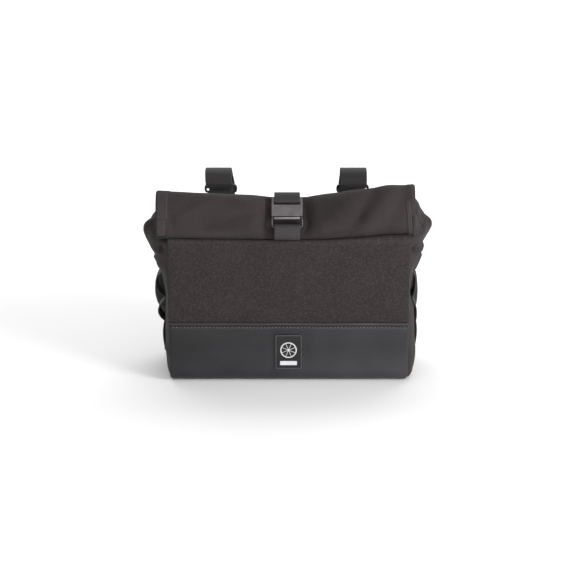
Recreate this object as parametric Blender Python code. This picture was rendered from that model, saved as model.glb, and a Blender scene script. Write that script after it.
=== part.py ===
"""A roll-top bicycle handlebar bag, standing on its base.

Metres, +Z up. The front panel faces -Y, +X is to the right of someone who looks at it,
and the origin is the middle of the base. Tables hold shares, chosen by eye, of the
named sizes at the top.
"""
import math

import bmesh
import bpy
from mathutils import Vector

MM = 0.001

# Body of the bag
PANEL_WIDTH = 244 * MM
BODY_DEPTH = 96 * MM
CREASE_HEIGHT = 149.2 * MM
BASE_RADIUS = 8 * MM
EAR_REACH = 28 * MM
EAR_POINT = 5 * MM
REAR_BULGE = 9 * MM
WALL = 1.6 * MM
LAYER_GAP = 0.6 * MM
GAP = 0.3 * MM

# Rolled top
ROLL_WIDTH = 261 * MM
ROLL_LENGTH = 45 * MM
ROLL_THICKNESS = 19 * MM
ROLL_LEAN = math.radians(22)
ROLL_RISE = 18 * MM
ROLL_SETBACK = 15 * MM
ROLL_PITCH = 5 * MM
ROLL_NECK = math.radians(120)
ROLL_MOUTH = math.radians(570)
ROLL_STEPS = 20
ROLL_LIFT = 13 * MM
ROLL_FULLNESS = 5 * MM

# Front panel, lower band and label
PANEL_SHEET = 1.4 * MM
PANEL_FOOT = 12 * MM
PANEL_FOLD = 2.6 * MM
PANEL_HEM = 1.6 * MM
SHOULDER_DROP = 3 * MM
BAND_SHEET = 1.6 * MM
BAND_HEIGHT = 63.2 * MM
BAND_BACK_HEIGHT = 26 * MM
LABEL_WIDTH = 27 * MM
LABEL_HEIGHT = 36.6 * MM
LABEL_BOTTOM = 14.7 * MM
LABEL_X = -0.2 * MM
LABEL_SHEET = 1.2 * MM
LABEL_BORDER = 1.3 * MM
LABEL_RELIEF = 0.6 * MM
LABEL_CORNER = 1.6 * MM

# Closure strap, hook plate and frame. The hook's place is measured up the roll's face from
# its middle and out from it, and the plate's own sizes up from the hook.
STRAP_X = -1.6 * MM
STRAP_WIDTH = 26 * MM
STRAP_SHEET = 1.4 * MM
HOOK_UP = 0.9 * MM
HOOK_OUT = 12.6 * MM
HOOK_WIDTH = 25.6 * MM
PLATE_LEAN = math.radians(37)
PLATE_WIDTH = 31 * MM
PLATE_LENGTH = 20.5 * MM
PLATE_SHEET = 1.3 * MM
SLOT_BOTTOM = 12.6 * MM
SLOT_TOP = 16.3 * MM
SLOT_WIDTH = 27 * MM
FRAME_WIRE = 2.2 * MM
FRAME_LENGTH = 9.8 * MM
FRAME_LEAN = 0.8 * MM

# Straps, rings and tabs for the handlebar
BAR_DIAMETER = 25.4 * MM
BAR_BEHIND = 8 * MM
BAR_RISE = 34 * MM
BAR_STRAP_WIDTH = 28 * MM
BAR_STRAP_SHEET = 2 * MM
BAR_STRAP_X = {"left": -71.3 * MM, "right": 67 * MM}
SEWN_LENGTH = 38 * MM
RING_WIRE = 2.5 * MM
RING_LENGTH = 7.2 * MM
RING_RUN = 5 * MM
RING_LEAN = 1.6 * MM
TAB_SHEET = 1.4 * MM
TAB_WIDTH = 24 * MM

# Webbing on the gussets
SIDE_STRAP_SHEET = 1.5 * MM
SIDE_STRAP_GAP = 0.55 * MM
SIDE_STRAP_MARGIN = 1 * MM

HALF_DEPTH = BODY_DEPTH / 2
HALF_WIDTH = PANEL_WIDTH / 2
HALF_ROLL = ROLL_WIDTH / 2
SHEET = 2 * WALL + LAYER_GAP
BASE_HEIGHT = BAND_SHEET + GAP
PANEL_FACE = -HALF_DEPTH - GAP - PANEL_SHEET
BAND_FACE = PANEL_FACE - GAP - BAND_SHEET
HOOK_REACH = FRAME_WIRE / 2 + GAP + PLATE_SHEET / 2

# Gusset profile between the base and the crease. Height is a share of CREASE_HEIGHT, left
# and right of EAR_REACH past the side seam, bulge_left and bulge_right of REAR_BULGE.
GUSSET_COLUMNS = ("height", "left", "right", "bulge_left", "bulge_right")
GUSSET_ROWS = (
    (0.000, 0.16, 0.19, 0.00, 0.00),
    (0.068, 0.18, 0.21, 0.00, 0.00),
    (0.182, 0.23, 0.30, 0.00, 0.00),
    (0.290, 0.23, 0.32, 0.05, 0.00),
    (0.370, 0.21, 0.32, 0.15, 0.05),
    (0.450, 0.21, 0.29, 0.55, 0.15),
    (0.530, 0.19, 0.18, 0.90, 0.45),
    (0.612, 0.18, 0.11, 1.00, 0.70),
    (0.705, 0.28, 0.20, 0.40, 0.35),
    (0.779, 0.44, 0.39, 0.00, 0.00),
    (0.840, 0.60, 0.52, 0.00, 0.00),
    (0.892, 0.77, 0.64, 0.00, 0.00),
    (0.939, 0.92, 0.77, 0.00, 0.00),
)

# The top of the bag, from the shoulders to the neck of the roll. Front points are shares of
# ROLL_SETBACK and SHOULDER_DROP, back points of the way to the neck and of ROLL_RISE. The
# widths run from the panel's (0) to the roll's (1), the ears are shares of EAR_REACH.
SHOULDER_COLUMNS = ("front_in", "front_drop", "back_in", "back_rise", "width", "left", "right")
SHOULDER_ROWS = (
    (0.03, 1.50, 0.007, 0.11, 0.00, 1.00, 0.91),
    (0.20, 1.05, 0.050, 0.48, 0.05, 0.97, 0.89),
    (0.47, 0.90, 0.140, 0.77, 0.20, 0.88, 0.80),
    (0.80, 0.85, 0.267, 0.97, 0.40, 0.76, 0.69),
)

# The same, where the front layer climbs behind the roll: along and behind are shares of
# the roll's half length and half thickness.
NECK_COLUMNS = ("along", "behind", "back_in", "back_rise", "width", "left", "right")
NECK_ROWS = (
    (-0.66, 0.90, 0.444, 1.15, 0.60, 0.60, 0.56),
    (-0.38, 0.88, 0.652, 1.25, 0.80, 0.47, 0.45),
    (0.00, 0.85, 0.830, 1.29, 0.95, 0.38, 0.37),
    (0.28, 0.79, 0.940, 1.31, 1.00, 0.34, 0.34),
)
ROLL_END = 0.34

# How the roll settles along its length: x is a share of half the roll, crease and top are
# shares of ROLL_LIFT, full of ROLL_FULLNESS. The strap pinches it flat in the middle.
SETTLE_COLUMNS = ("x", "crease", "top", "full")
SETTLE_ROWS = (
    (-1.00, 0.12, 0.48, 0.30),
    (-0.75, 0.10, 0.37, 0.60),
    (-0.50, 0.06, 0.23, 0.90),
    (-0.28, 0.02, 0.17, 1.00),
    (-0.14, 0.00, 0.00, 0.00),
    (0.14, 0.00, 0.00, 0.00),
    (0.28, 0.04, 0.25, 1.00),
    (0.50, 0.17, 0.50, 0.90),
    (0.75, 0.41, 0.87, 0.70),
    (1.00, 0.50, 1.00, 0.40),
)

# Loops sewn into the side webbing: low and high are shares of CREASE_HEIGHT, left and right
# of LOOP_REACH.
LOOP_REACH = 8.7 * MM
LOOP_COLUMNS = ("low", "high", "left", "right")
LOOP_ROWS = (
    (0.178, 0.359, 0.12, 0.12),
    (0.359, 0.501, 0.72, 0.12),
    (0.535, 0.706, 1.00, 0.50),
)
SIDE_STRAP_FOOT = 0.143
SIDE_STRAP_HEAD = 0.819
LOOP_STEPS = 8

ACROSS = (-1.0, -0.80, -0.55, -0.30, -0.13, 0.0, 0.13, 0.30, 0.55, 0.80, 1.0)
GUSSET_STATIONS = (0.05, 0.16, 0.354, 0.479, 0.604, 0.72, 0.86, 0.96)
FLAT_FROM = 0.354
FLAT_TO = 0.604


def clamp(value, low, high):
    return max(low, min(high, value))


def smooth(value, start, end):
    """Rises smoothly from 0 at start to 1 at end."""
    share = clamp((value - start) / (end - start), 0, 1)
    return share * share * (3 - 2 * share)


def look_up(rows, columns, key, name):
    """Reads the named column at key, which runs along the rows' first column."""
    column = columns.index(name)
    if key <= rows[0][0]:
        return rows[0][column]
    for low, high in zip(rows, rows[1:]):
        if key <= high[0]:
            share = (key - low[0]) / (high[0] - low[0])
            return low[column] + share * (high[column] - low[column])
    return rows[-1][column]


def mix(a, b, share):
    return (a[0] + (b[0] - a[0]) * share, a[1] + (b[1] - a[1]) * share)


# The roll's own directions in the YZ plane: up its face, and out of its face to the front.
ROLL_CENTRE = (-HALF_DEPTH + ROLL_SETBACK, CREASE_HEIGHT + ROLL_RISE)
UP_ROLL = (math.sin(ROLL_LEAN), math.cos(ROLL_LEAN))
OUT_OF_ROLL = (-math.cos(ROLL_LEAN), math.sin(ROLL_LEAN))


def on_roll(along, out):
    """A YZ point given along the roll's face and out of it, from the roll's middle."""
    y = ROLL_CENTRE[0] + UP_ROLL[0] * along + OUT_OF_ROLL[0] * out
    z = ROLL_CENTRE[1] + UP_ROLL[1] * along + OUT_OF_ROLL[1] * out
    return (y, z)


def roll_line(angle, offset=0):
    """The double sheet's middle line, round the roll from its lowest point up its rear."""
    shrink = ROLL_PITCH * (angle - ROLL_NECK) / (2 * math.pi)
    along = (ROLL_LENGTH / 2 - shrink + offset) * -math.cos(angle)
    out = (ROLL_THICKNESS / 2 - shrink + offset) * -math.sin(angle)
    return on_roll(along, out)


def settle(point):
    """Moves a point of the soft body as the strap and the load settle the roll."""
    share = point.x / HALF_ROLL
    crease = look_up(SETTLE_ROWS, SETTLE_COLUMNS, share, "crease") * ROLL_LIFT
    top = look_up(SETTLE_ROWS, SETTLE_COLUMNS, share, "top") * ROLL_LIFT
    full = look_up(SETTLE_ROWS, SETTLE_COLUMNS, share, "full") * ROLL_FULLNESS
    above = clamp((point.z - CREASE_HEIGHT) / (2.2 * ROLL_RISE), 0, 1)
    below = smooth(point.z, 0.66 * CREASE_HEIGHT, CREASE_HEIGHT)
    forward = 1 - smooth(point.y, -0.1 * HALF_DEPTH, 0.85 * HALF_DEPTH)
    lift = (crease * below + (top - crease) * above) * forward
    y = point.y - ROLL_CENTRE[0]
    z = point.z - ROLL_CENTRE[1]
    out = OUT_OF_ROLL[0] * y + OUT_OF_ROLL[1] * z
    bulge = clamp(2 * out / ROLL_THICKNESS, 0, 1)
    bulge *= smooth(point.z, CREASE_HEIGHT - GAP, CREASE_HEIGHT + ROLL_RISE / 2)
    return Vector((point.x, point.y - full * bulge, point.z + lift))


def give_material(item, colour, roughness, metallic=0.0):
    """Gives the object a Principled material of its own."""
    material = bpy.data.materials.new(item.name)
    material.use_nodes = True
    shader = material.node_tree.nodes["Principled BSDF"]
    shader.inputs["Base Color"].default_value = (*colour, 1)
    shader.inputs["Roughness"].default_value = roughness
    shader.inputs["Metallic"].default_value = metallic
    item.data.materials.append(material)


def mesh_object(name, points, faces, parent):
    """Makes a closed mesh object with its faces pointing out."""
    mesh = bpy.data.meshes.new(name)
    mesh.from_pydata([tuple(point) for point in points], [], faces)
    work = bmesh.new()
    work.from_mesh(mesh)
    bmesh.ops.recalc_face_normals(work, faces=work.faces)
    work.to_mesh(mesh)
    work.free()
    mesh.shade_smooth()
    mesh.set_sharp_from_angle(angle=math.radians(40))
    item = bpy.data.objects.new(name, mesh)
    bpy.context.scene.collection.objects.link(item)
    item.parent = parent
    return item


def arc(centre, radius, start, end, steps):
    """Points on an arc in a plane, angles in degrees."""
    points = []
    for step in range(steps + 1):
        angle = math.radians(start + (end - start) * step / steps)
        y = centre[0] + radius * math.cos(angle)
        z = centre[1] + radius * math.sin(angle)
        points.append((y, z))
    return points


def curve_through(points, steps):
    """A smooth curve through a few points, Catmull-Rom, with steps parts in each span."""
    ends = [points[0], *points, points[-1]]
    result = []
    for a, b, c, d in zip(ends, ends[1:], ends[2:], ends[3:]):
        for step in range(steps):
            t = step / steps
            result.append(tuple(
                0.5 * (2 * b[k] + (c[k] - a[k]) * t
                       + (2 * a[k] - 5 * b[k] + 4 * c[k] - d[k]) * t ** 2
                       + (3 * b[k] - a[k] - 3 * c[k] + d[k]) * t ** 3)
                for k in (0, 1)))
    result.append(points[-1])
    return result


def sides_of(path, thickness):
    """The two lines that run half a thickness to each side of a plane path."""
    left = []
    right = []
    last = len(path) - 1
    for index, point in enumerate(path):
        before = Vector(path[max(index - 1, 0)])
        after = Vector(path[min(index + 1, last)])
        here = Vector(point)
        first = (here - before).normalized() if index > 0 else (after - here).normalized()
        second = (after - here).normalized() if index < last else first
        along = (first + second).normalized()
        stretch = 1 / max(along.dot(first), 0.7)
        offset = Vector((-along.y, along.x)) * thickness / 2 * stretch
        left.append(here + offset)
        right.append(here - offset)
    return left, right


def ribbon(name, path, thickness, low, high, parent, upright=False, shape=None):
    """A strip of webbing: a plane path with a thickness, drawn out from low to high.

    The path lies in YZ and is drawn out along X, or, if upright, in XZ and along Y.
    """
    left, right = sides_of(path, thickness)
    points = []
    for line, place in ((left, low), (right, low), (right, high), (left, high)):
        for point in line:
            corner = (point.x, place, point.y) if upright else (place, point.x, point.y)
            points.append(shape(Vector(corner)) if shape else Vector(corner))
    count = len(path)
    faces = [(0, count, 2 * count, 3 * count)]
    faces.append(tuple(corner + count - 1 for corner in (0, 3 * count, 2 * count, count)))
    for side in range(4):
        a = side * count
        b = (side + 1) % 4 * count
        for step in range(count - 1):
            faces.append((a + step, a + step + 1, b + step + 1, b + step))
    return mesh_object(name, points, faces, parent)


def wire_loop(name, path, normal, radius, parent, sides=8):
    """A round wire along a closed plane path, whose plane has the given normal."""
    points = []
    count = len(path)
    for index, point in enumerate(path):
        along = (path[(index + 1) % count] - path[index - 1]).normalized()
        inward = normal.cross(along)
        for side in range(sides):
            angle = 2 * math.pi * side / sides
            points.append(point + (inward * math.cos(angle) + normal * math.sin(angle)) * radius)
    faces = []
    for index in range(count):
        for side in range(sides):
            a = index * sides
            b = (index + 1) % count * sides
            turn = (side + 1) % sides
            faces.append((a + side, a + turn, b + turn, b + side))
    return mesh_object(name, points, faces, parent)


def rounded_oblong(width, height, corner, steps):
    """Corner points of a rectangle with round corners, about its middle."""
    points = []
    for quarter in range(4):
        sign_x = (1, -1, -1, 1)[quarter]
        sign_y = (1, 1, -1, -1)[quarter]
        centre = (sign_x * (width / 2 - corner), sign_y * (height / 2 - corner))
        points += arc(centre, corner, 90 * quarter, 90 * quarter + 90, steps)
    return points


def gusset_reach(height, side):
    """How far the gusset stands past the side seam where the webbing lies."""
    return look_up(GUSSET_ROWS, GUSSET_COLUMNS, height / CREASE_HEIGHT, side) * EAR_REACH


def body_stations():
    """Outlines of the bag from its base to the mouth inside the roll.

    Each has its front and back YZ points, half width there, ear reach left and right,
    bulge left and right, and how far the ear comes to a point.
    """
    stations = []
    for step in range(4):
        angle = math.pi / 2 * step / 3
        inset = BASE_RADIUS * (1 - math.sin(angle))
        height = BASE_HEIGHT + BASE_RADIUS * (1 - math.cos(angle))
        y = HALF_DEPTH - inset
        reach = [gusset_reach(height, side) for side in ("left", "right")]
        stations.append(((-y, height), (y, height), HALF_WIDTH - inset, reach, (0, 0), 0))
    for height, left, right, bulge_left, bulge_right in GUSSET_ROWS[2:]:
        z = height * CREASE_HEIGHT
        reach = [left * EAR_REACH, right * EAR_REACH]
        bulge = (bulge_left * REAR_BULGE, bulge_right * REAR_BULGE)
        point = EAR_POINT * smooth(height, SIDE_STRAP_HEAD, 1)
        stations.append(((-HALF_DEPTH, z), (HALF_DEPTH, z), HALF_WIDTH, reach, bulge, point))
    neck = roll_line(ROLL_NECK)
    for front_in, drop, back_in, rise, width, left, right in SHOULDER_ROWS:
        front = (-HALF_DEPTH + front_in * ROLL_SETBACK, CREASE_HEIGHT - drop * SHOULDER_DROP)
        stations.append(top_station(front, neck, back_in, rise, width, left, right))
    for along, behind, back_in, rise, width, left, right in NECK_ROWS:
        front = on_roll(along * ROLL_LENGTH / 2, -behind * ROLL_THICKNESS / 2)
        stations.append(top_station(front, neck, back_in, rise, width, left, right))
    for step in range(ROLL_STEPS + 1):
        angle = ROLL_NECK + (ROLL_MOUTH - ROLL_NECK) * step / ROLL_STEPS
        front = roll_line(angle, -SHEET / 2)
        back = roll_line(angle, SHEET / 2)
        reach = [ROLL_END * ROLL_THICKNESS / 4 for side in range(2)]
        stations.append((front, back, HALF_ROLL - reach[0], reach, (0, 0), 0))
    return stations


def top_station(front, neck, back_in, rise, width, left, right):
    """An outline between the shoulders and the neck."""
    back_y = HALF_DEPTH + (neck[0] + SHEET / 2 - HALF_DEPTH) * back_in
    back = (back_y, CREASE_HEIGHT + rise * ROLL_RISE)
    half = HALF_WIDTH + (HALF_ROLL - HALF_WIDTH) * width
    tips = [HALF_WIDTH + share * EAR_REACH for share in (left, right)]
    reach = [max(tip - half, ROLL_END * ROLL_THICKNESS / 4) for tip in tips]
    return (front, back, half, reach, (0, 0), EAR_POINT * (1 - width))


def gusset_x(share, half, reach, bulge, point):
    """How far out the gusset lies at a share of the way from its front to its back."""
    if share <= FLAT_FROM:
        rise = 1 - (1 - share / FLAT_FROM) ** 1.8
        return half + (reach - point) * rise
    if share < FLAT_TO:
        middle = 1 - abs(2 * share - FLAT_FROM - FLAT_TO) / (FLAT_TO - FLAT_FROM)
        return half + reach - point * (1 - middle)
    fall = (share - FLAT_TO) / (1 - FLAT_TO)
    return half + (reach - point) * (1 - fall ** 2.5) + bulge * math.sin(math.pi * fall)


def outline(station, inset):
    """The closed ring of points at a station, drawn in by the inset at its ends."""
    front, back, half, reach, bulge, point = station
    half = half - inset
    ring = []
    for share in ACROSS:
        ring.append(Vector((share * half, *front)))
    for share in GUSSET_STATIONS:
        x = gusset_x(share, half, reach[1], bulge[1], point)
        ring.append(Vector((x, *mix(front, back, share))))
    for share in reversed(ACROSS):
        ring.append(Vector((share * half, *back)))
    for share in reversed(GUSSET_STATIONS):
        x = gusset_x(share, half, reach[0], bulge[0], point)
        ring.append(Vector((-x, *mix(front, back, share))))
    return ring


def inner_station(stations, index):
    """The station a wall's thickness inside the one at the index."""
    turn = index - (len(stations) - 1 - ROLL_STEPS)
    if turn >= 0:
        angle = ROLL_NECK + (ROLL_MOUTH - ROLL_NECK) * turn / ROLL_STEPS
        front = roll_line(angle, -LAYER_GAP / 2)
        back = roll_line(angle, LAYER_GAP / 2)
        return (front, back, *stations[index][2:])
    before = stations[max(index - 1, 0)]
    after = stations[min(index + 1, len(stations) - 1)]
    station = stations[index]
    moved = []
    for side, turn in ((0, 1), (1, -1)):
        along = (Vector(after[side]) - Vector(before[side])).normalized()
        inward = Vector((along.y, -along.x)) * turn
        moved.append(tuple(Vector(station[side]) + inward * WALL))
    return (*moved, *station[2:])


def bag_shell(parent):
    """The hollow body: base, front, gussets with their ears, back, neck and rolled top."""
    stations = body_stations()
    outer = [outline(station, 0) for station in stations]
    inner = [outline(inner_station(stations, index), WALL) for index in range(len(stations))]
    rings = outer + inner
    points = [settle(point) for ring in rings for point in ring]
    around = len(outer[0])
    count = len(stations)
    faces = []
    for wall in range(2):
        for row in range(count - 1):
            start = (wall * count + row) * around
            for column in range(around):
                turn = (column + 1) % around
                a = start + column
                b = start + turn
                faces.append((a, b, b + around, a + around))
    lip = (count - 1) * around
    inner_lip = lip + count * around
    for column in range(around):
        turn = (column + 1) % around
        faces.append((lip + column, lip + turn, inner_lip + turn, inner_lip + column))
    for start in (0, count * around):
        faces += floor_faces(start, around)
    shell = mesh_object("bag_shell", points, faces, parent)
    give_material(shell, (0.052, 0.045, 0.045), 0.8)
    return shell


def floor_faces(start, around):
    """Faces that close the first ring of a wall, from its front edge to its back edge."""
    across = len(ACROSS)
    gusset = len(GUSSET_STATIONS)
    back = start + across + gusset
    faces = []
    for column in range(across - 1):
        a = start + column
        b = back + across - 1 - column
        faces.append((a, a + 1, b - 1, b))
    faces.append(tuple(range(start + across - 1, back + 1)))
    faces.append((*range(back + across - 1, start + around), start))
    return faces


def panel_path():
    """The front panel's middle line, up its face and in over its folded top edge."""
    middle = PANEL_FACE + PANEL_SHEET / 2
    top = CREASE_HEIGHT - PANEL_SHEET / 2
    path = [(middle, PANEL_FOOT)]
    for share in (0.25, 0.5, 0.66, 0.75, 0.83, 0.9):
        path.append((middle, share * CREASE_HEIGHT))
    path += arc((middle + PANEL_FOLD, top - PANEL_FOLD), PANEL_FOLD, 180, 90, 4)
    path.append((middle + PANEL_FOLD + PANEL_HEM, top))
    return path


def front_panel(parent):
    """The woven panel sewn over the front, with its folded top edge at the crease."""
    path = panel_path()
    left, right = sides_of(path, PANEL_SHEET)
    half = HALF_WIDTH
    points = []
    for line in (left, right):
        for point in line:
            for share in ACROSS:
                points.append(settle(Vector((share * half, point.x, point.y))))
    rows = len(path)
    columns = len(ACROSS)
    faces = []
    sheet = rows * columns
    for wall in range(2):
        for row in range(rows - 1):
            for column in range(columns - 1):
                a = wall * sheet + row * columns + column
                faces.append((a, a + 1, a + columns + 1, a + columns))
    for row in range(rows - 1):
        for column in (0, columns - 1):
            a = row * columns + column
            faces.append((a, a + columns, a + columns + sheet, a + sheet))
    for row in (0, rows - 1):
        for column in range(columns - 1):
            a = row * columns + column
            faces.append((a, a + 1, a + 1 + sheet, a + sheet))
    panel = mesh_object("front_panel", points, faces, parent)
    give_material(panel, (0.056, 0.046, 0.044), 0.85)
    return panel


def band_path():
    """The base band's middle line, down the front, under the base and up the back."""
    front = BAND_FACE + BAND_SHEET / 2
    back = HALF_DEPTH + GAP + BAND_SHEET / 2
    bottom = BAND_SHEET / 2
    radius = BASE_RADIUS + GAP + BAND_SHEET / 2
    front_radius = radius + GAP + PANEL_SHEET
    path = [(front, BAND_HEIGHT)]
    path += arc((front + front_radius, bottom + front_radius), front_radius, 180, 270, 5)
    path += arc((back - radius, bottom + radius), radius, 270, 360, 5)
    path.append((back, BAND_BACK_HEIGHT))
    return path


def base_band(parent):
    """The smooth band over the lower front, which wraps under the base and up the back."""
    path = band_path()
    band = ribbon("base_band", path, BAND_SHEET, -HALF_WIDTH, HALF_WIDTH, parent)
    give_material(band, (0.042, 0.042, 0.045), 0.5)
    return band


def label_patch(parent):
    """The rubber patch on the band, with a raised border."""
    back = BAND_FACE - GAP
    field = back - LABEL_SHEET
    rim = field - LABEL_RELIEF
    shrink = 2 * LABEL_BORDER
    layers = (
        (back, LABEL_WIDTH, LABEL_HEIGHT, LABEL_CORNER),
        (rim, LABEL_WIDTH, LABEL_HEIGHT, LABEL_CORNER),
        (rim, LABEL_WIDTH - shrink, LABEL_HEIGHT - shrink, LABEL_CORNER / 2),
        (field, LABEL_WIDTH - shrink, LABEL_HEIGHT - shrink, LABEL_CORNER / 2),
    )
    height = LABEL_BOTTOM + LABEL_HEIGHT / 2
    points = []
    for y, width, tall, corner in layers:
        for across, up in rounded_oblong(width, tall, corner, 3):
            points.append(Vector((LABEL_X + across, y, height + up)))
    around = len(points) // len(layers)
    faces = [tuple(range(around)), tuple(range(3 * around, 4 * around))]
    for layer in range(3):
        for column in range(around):
            turn = (column + 1) % around
            a = layer * around
            faces.append((a + column, a + turn, a + around + turn, a + around + column))
    label = mesh_object("label_patch", points, faces, parent)
    give_material(label, (0.03, 0.03, 0.032), 0.55)
    return label


def on_plate(along, out):
    """A YZ point given up the hook plate and out of it, from the frame's upper bar."""
    bar = frame_bars()[0]
    y = bar[0] + math.sin(PLATE_LEAN) * along - math.cos(PLATE_LEAN) * out
    z = bar[1] + math.cos(PLATE_LEAN) * along + math.sin(PLATE_LEAN) * out
    return (y, z)


def upper_strap_path():
    """The upper webbing's middle line, from its end under the plate to its end at the back."""
    lift = PLATE_SHEET / 2 + GAP + STRAP_SHEET / 2
    top = ROLL_LENGTH / 2 + SHEET / 2
    layer = STRAP_SHEET + GAP
    under = [
        on_roll(top + 0.14 * STRAP_SHEET, -0.02 * ROLL_THICKNESS),
        on_roll(top - 0.29 * STRAP_SHEET, 0.18 * ROLL_THICKNESS),
        on_plate(1.1 * PLATE_LENGTH, HOOK_REACH - lift - 0.29 * STRAP_SHEET),
        on_plate(0.975 * PLATE_LENGTH, HOOK_REACH - lift),
        on_plate(SLOT_TOP, HOOK_REACH - lift),
    ]
    fold = []
    for step in range(1, 8):
        angle = math.pi * step / 8
        fold.append(on_plate(SLOT_TOP - lift * math.sin(angle),
                             HOOK_REACH - lift * math.cos(angle)))
    over = [
        on_plate(SLOT_TOP, HOOK_REACH + lift),
        on_plate(PLATE_LENGTH, HOOK_REACH + lift),
        on_roll(top + layer - 0.07 * STRAP_SHEET, 0.39 * ROLL_THICKNESS),
        on_roll(top + layer + 0.5 * STRAP_SHEET, 0.105 * ROLL_THICKNESS),
        on_roll(top + layer - 0.43 * STRAP_SHEET, -0.263 * ROLL_THICKNESS),
    ]
    tail = deck_line(GAP + STRAP_SHEET / 2)[3:6]
    return curve_through(under, 3) + fold + curve_through(over + tail[2:], 3) + tail[1::-1]


def closure_strap_upper(parent):
    """Webbing from the bag's back over the roll, round the hook plate's top bar and back."""
    path = upper_strap_path()
    half = STRAP_WIDTH / 2
    strap = ribbon("closure_strap_upper", path, STRAP_SHEET, STRAP_X - half, STRAP_X + half,
                   parent)
    give_material(strap, (0.068, 0.066, 0.066), 0.7)
    return strap


def deck_line(lift):
    """YZ points a small height above the bag's rear shoulder and deck, from the back on."""
    neck = roll_line(ROLL_NECK)
    deck = [Vector((HALF_DEPTH, GUSSET_ROWS[-1][0] * CREASE_HEIGHT))]
    for back_in, rise in [(row[2], row[3]) for row in SHOULDER_ROWS + NECK_ROWS]:
        y = HALF_DEPTH + (neck[0] + SHEET / 2 - HALF_DEPTH) * back_in
        deck.append(Vector((y, CREASE_HEIGHT + rise * ROLL_RISE)))
    line = []
    for before, here, after in zip(deck, deck[1:], deck[2:]):
        along = ((here - before).normalized() + (after - here).normalized()).normalized()
        stretch = 1 / along.dot((after - here).normalized())
        line.append(tuple(here + Vector((along.y, -along.x)) * lift * stretch))
    return line


def frame_bars():
    """The YZ middles of the hook frame's upper and lower bars."""
    upper = on_roll(HOOK_UP, HOOK_OUT)
    lower = on_roll(HOOK_UP - FRAME_LENGTH, HOOK_OUT - FRAME_LEAN)
    return upper, lower


def lower_strap_path():
    """The lower webbing's middle line, from the crease to its end behind the frame."""
    along = HOOK_UP - FRAME_LENGTH
    out = HOOK_OUT - FRAME_LEAN
    lift = FRAME_WIRE / 2 + GAP + STRAP_SHEET / 2
    crease = CREASE_HEIGHT + GAP + STRAP_SHEET / 2
    fold_y = PANEL_FACE + PANEL_SHEET + PANEL_FOLD
    over = [
        (fold_y + 0.46 * PANEL_FOLD, crease + 0.07 * STRAP_SHEET),
        (fold_y - 0.58 * PANEL_FOLD, crease + 0.36 * STRAP_SHEET),
        (fold_y - 1.69 * PANEL_FOLD, crease + 1.38 * PANEL_FOLD),
        on_roll(along - 0.2 * FRAME_LENGTH, out + lift),
        on_roll(along, out + lift),
    ]
    fold = []
    for step in range(1, 8):
        angle = math.pi * step / 8
        fold.append(on_roll(along + lift * math.sin(angle), out + lift * math.cos(angle)))
    under = [
        on_roll(along, out - lift),
        on_roll(along - 0.245 * FRAME_LENGTH, out - lift + 0.14 * STRAP_SHEET),
        on_roll(along - 0.61 * FRAME_LENGTH, out - lift + 0.43 * STRAP_SHEET),
    ]
    return curve_through(over, 4) + fold + curve_through(under, 2)


def closure_strap_lower(parent):
    """Webbing from the crease up to the hook frame's lower bar, round it and back."""
    path = lower_strap_path()
    half = STRAP_WIDTH / 2
    strap = ribbon("closure_strap_lower", path, STRAP_SHEET, STRAP_X - half, STRAP_X + half,
                   parent)
    give_material(strap, (0.070, 0.068, 0.068), 0.7)
    return strap


def hook_plate(parent):
    """The flat metal plate: a slot for the strap above, and a hook curled under below."""
    path = []
    for share in (1.0, 0.75, 0.5, 0.25):
        path.append(on_plate(PLATE_LENGTH * share, HOOK_REACH))
    for step in range(11):
        angle = math.pi * step / 10
        path.append(on_plate(-HOOK_REACH * math.sin(angle), HOOK_REACH * math.cos(angle)))
    half = PLATE_WIDTH / 2
    plate = ribbon("hook_plate", path, PLATE_SHEET, STRAP_X - half, STRAP_X + half, parent)
    cut = plate.modifiers.new("slot_and_hook", "BOOLEAN")
    cut.operation = "DIFFERENCE"
    cut.object = plate_cutter(parent)
    give_material(plate, (0.16, 0.155, 0.155), 0.35, 0.9)
    return plate


def plate_cutter(parent):
    """Blocks that cut the strap's slot and free the hook from the frame's side bars."""
    slot = (SLOT_BOTTOM, SLOT_TOP, HOOK_REACH - PLATE_SHEET, HOOK_REACH + PLATE_SHEET)
    side = (-2 * HOOK_REACH, 0, -2 * HOOK_REACH, 2 * HOOK_REACH)
    blocks = [(-SLOT_WIDTH / 2, SLOT_WIDTH / 2, *slot)]
    blocks.append((-PLATE_WIDTH, -HOOK_WIDTH / 2, *side))
    blocks.append((HOOK_WIDTH / 2, PLATE_WIDTH, *side))
    points = []
    faces = []
    for low, high, bottom, top, back, front in blocks:
        start = len(points)
        for x in (low, high):
            for along, out in ((bottom, back), (top, back), (top, front), (bottom, front)):
                points.append(Vector((STRAP_X + x, *on_plate(along, out))))
        faces += [(start, start + 1, start + 2, start + 3)]
        faces += [(start + 7, start + 6, start + 5, start + 4)]
        for corner in range(4):
            a = start + corner
            b = start + (corner + 1) % 4
            faces.append((a, b, b + 4, a + 4))
    cutter = mesh_object("plate_cutter", points, faces, parent)
    cutter.hide_render = True
    cutter.display_type = "WIRE"
    return cutter


def loop_path(across, upper, lower, wire):
    """A closed oblong round two bar middles in YZ, with rounded corners."""
    low = Vector((0, *lower))
    high = Vector((0, *upper))
    up = high - low
    middle = (high + low) / 2
    length = up.length
    direction = up.normalized()
    path = []
    for x, along in rounded_oblong(across - wire, length, wire * 0.8, 3):
        path.append(middle + Vector((x, 0, 0)) + direction * along)
    normal = Vector((1, 0, 0)).cross(direction)
    return path, normal


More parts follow.
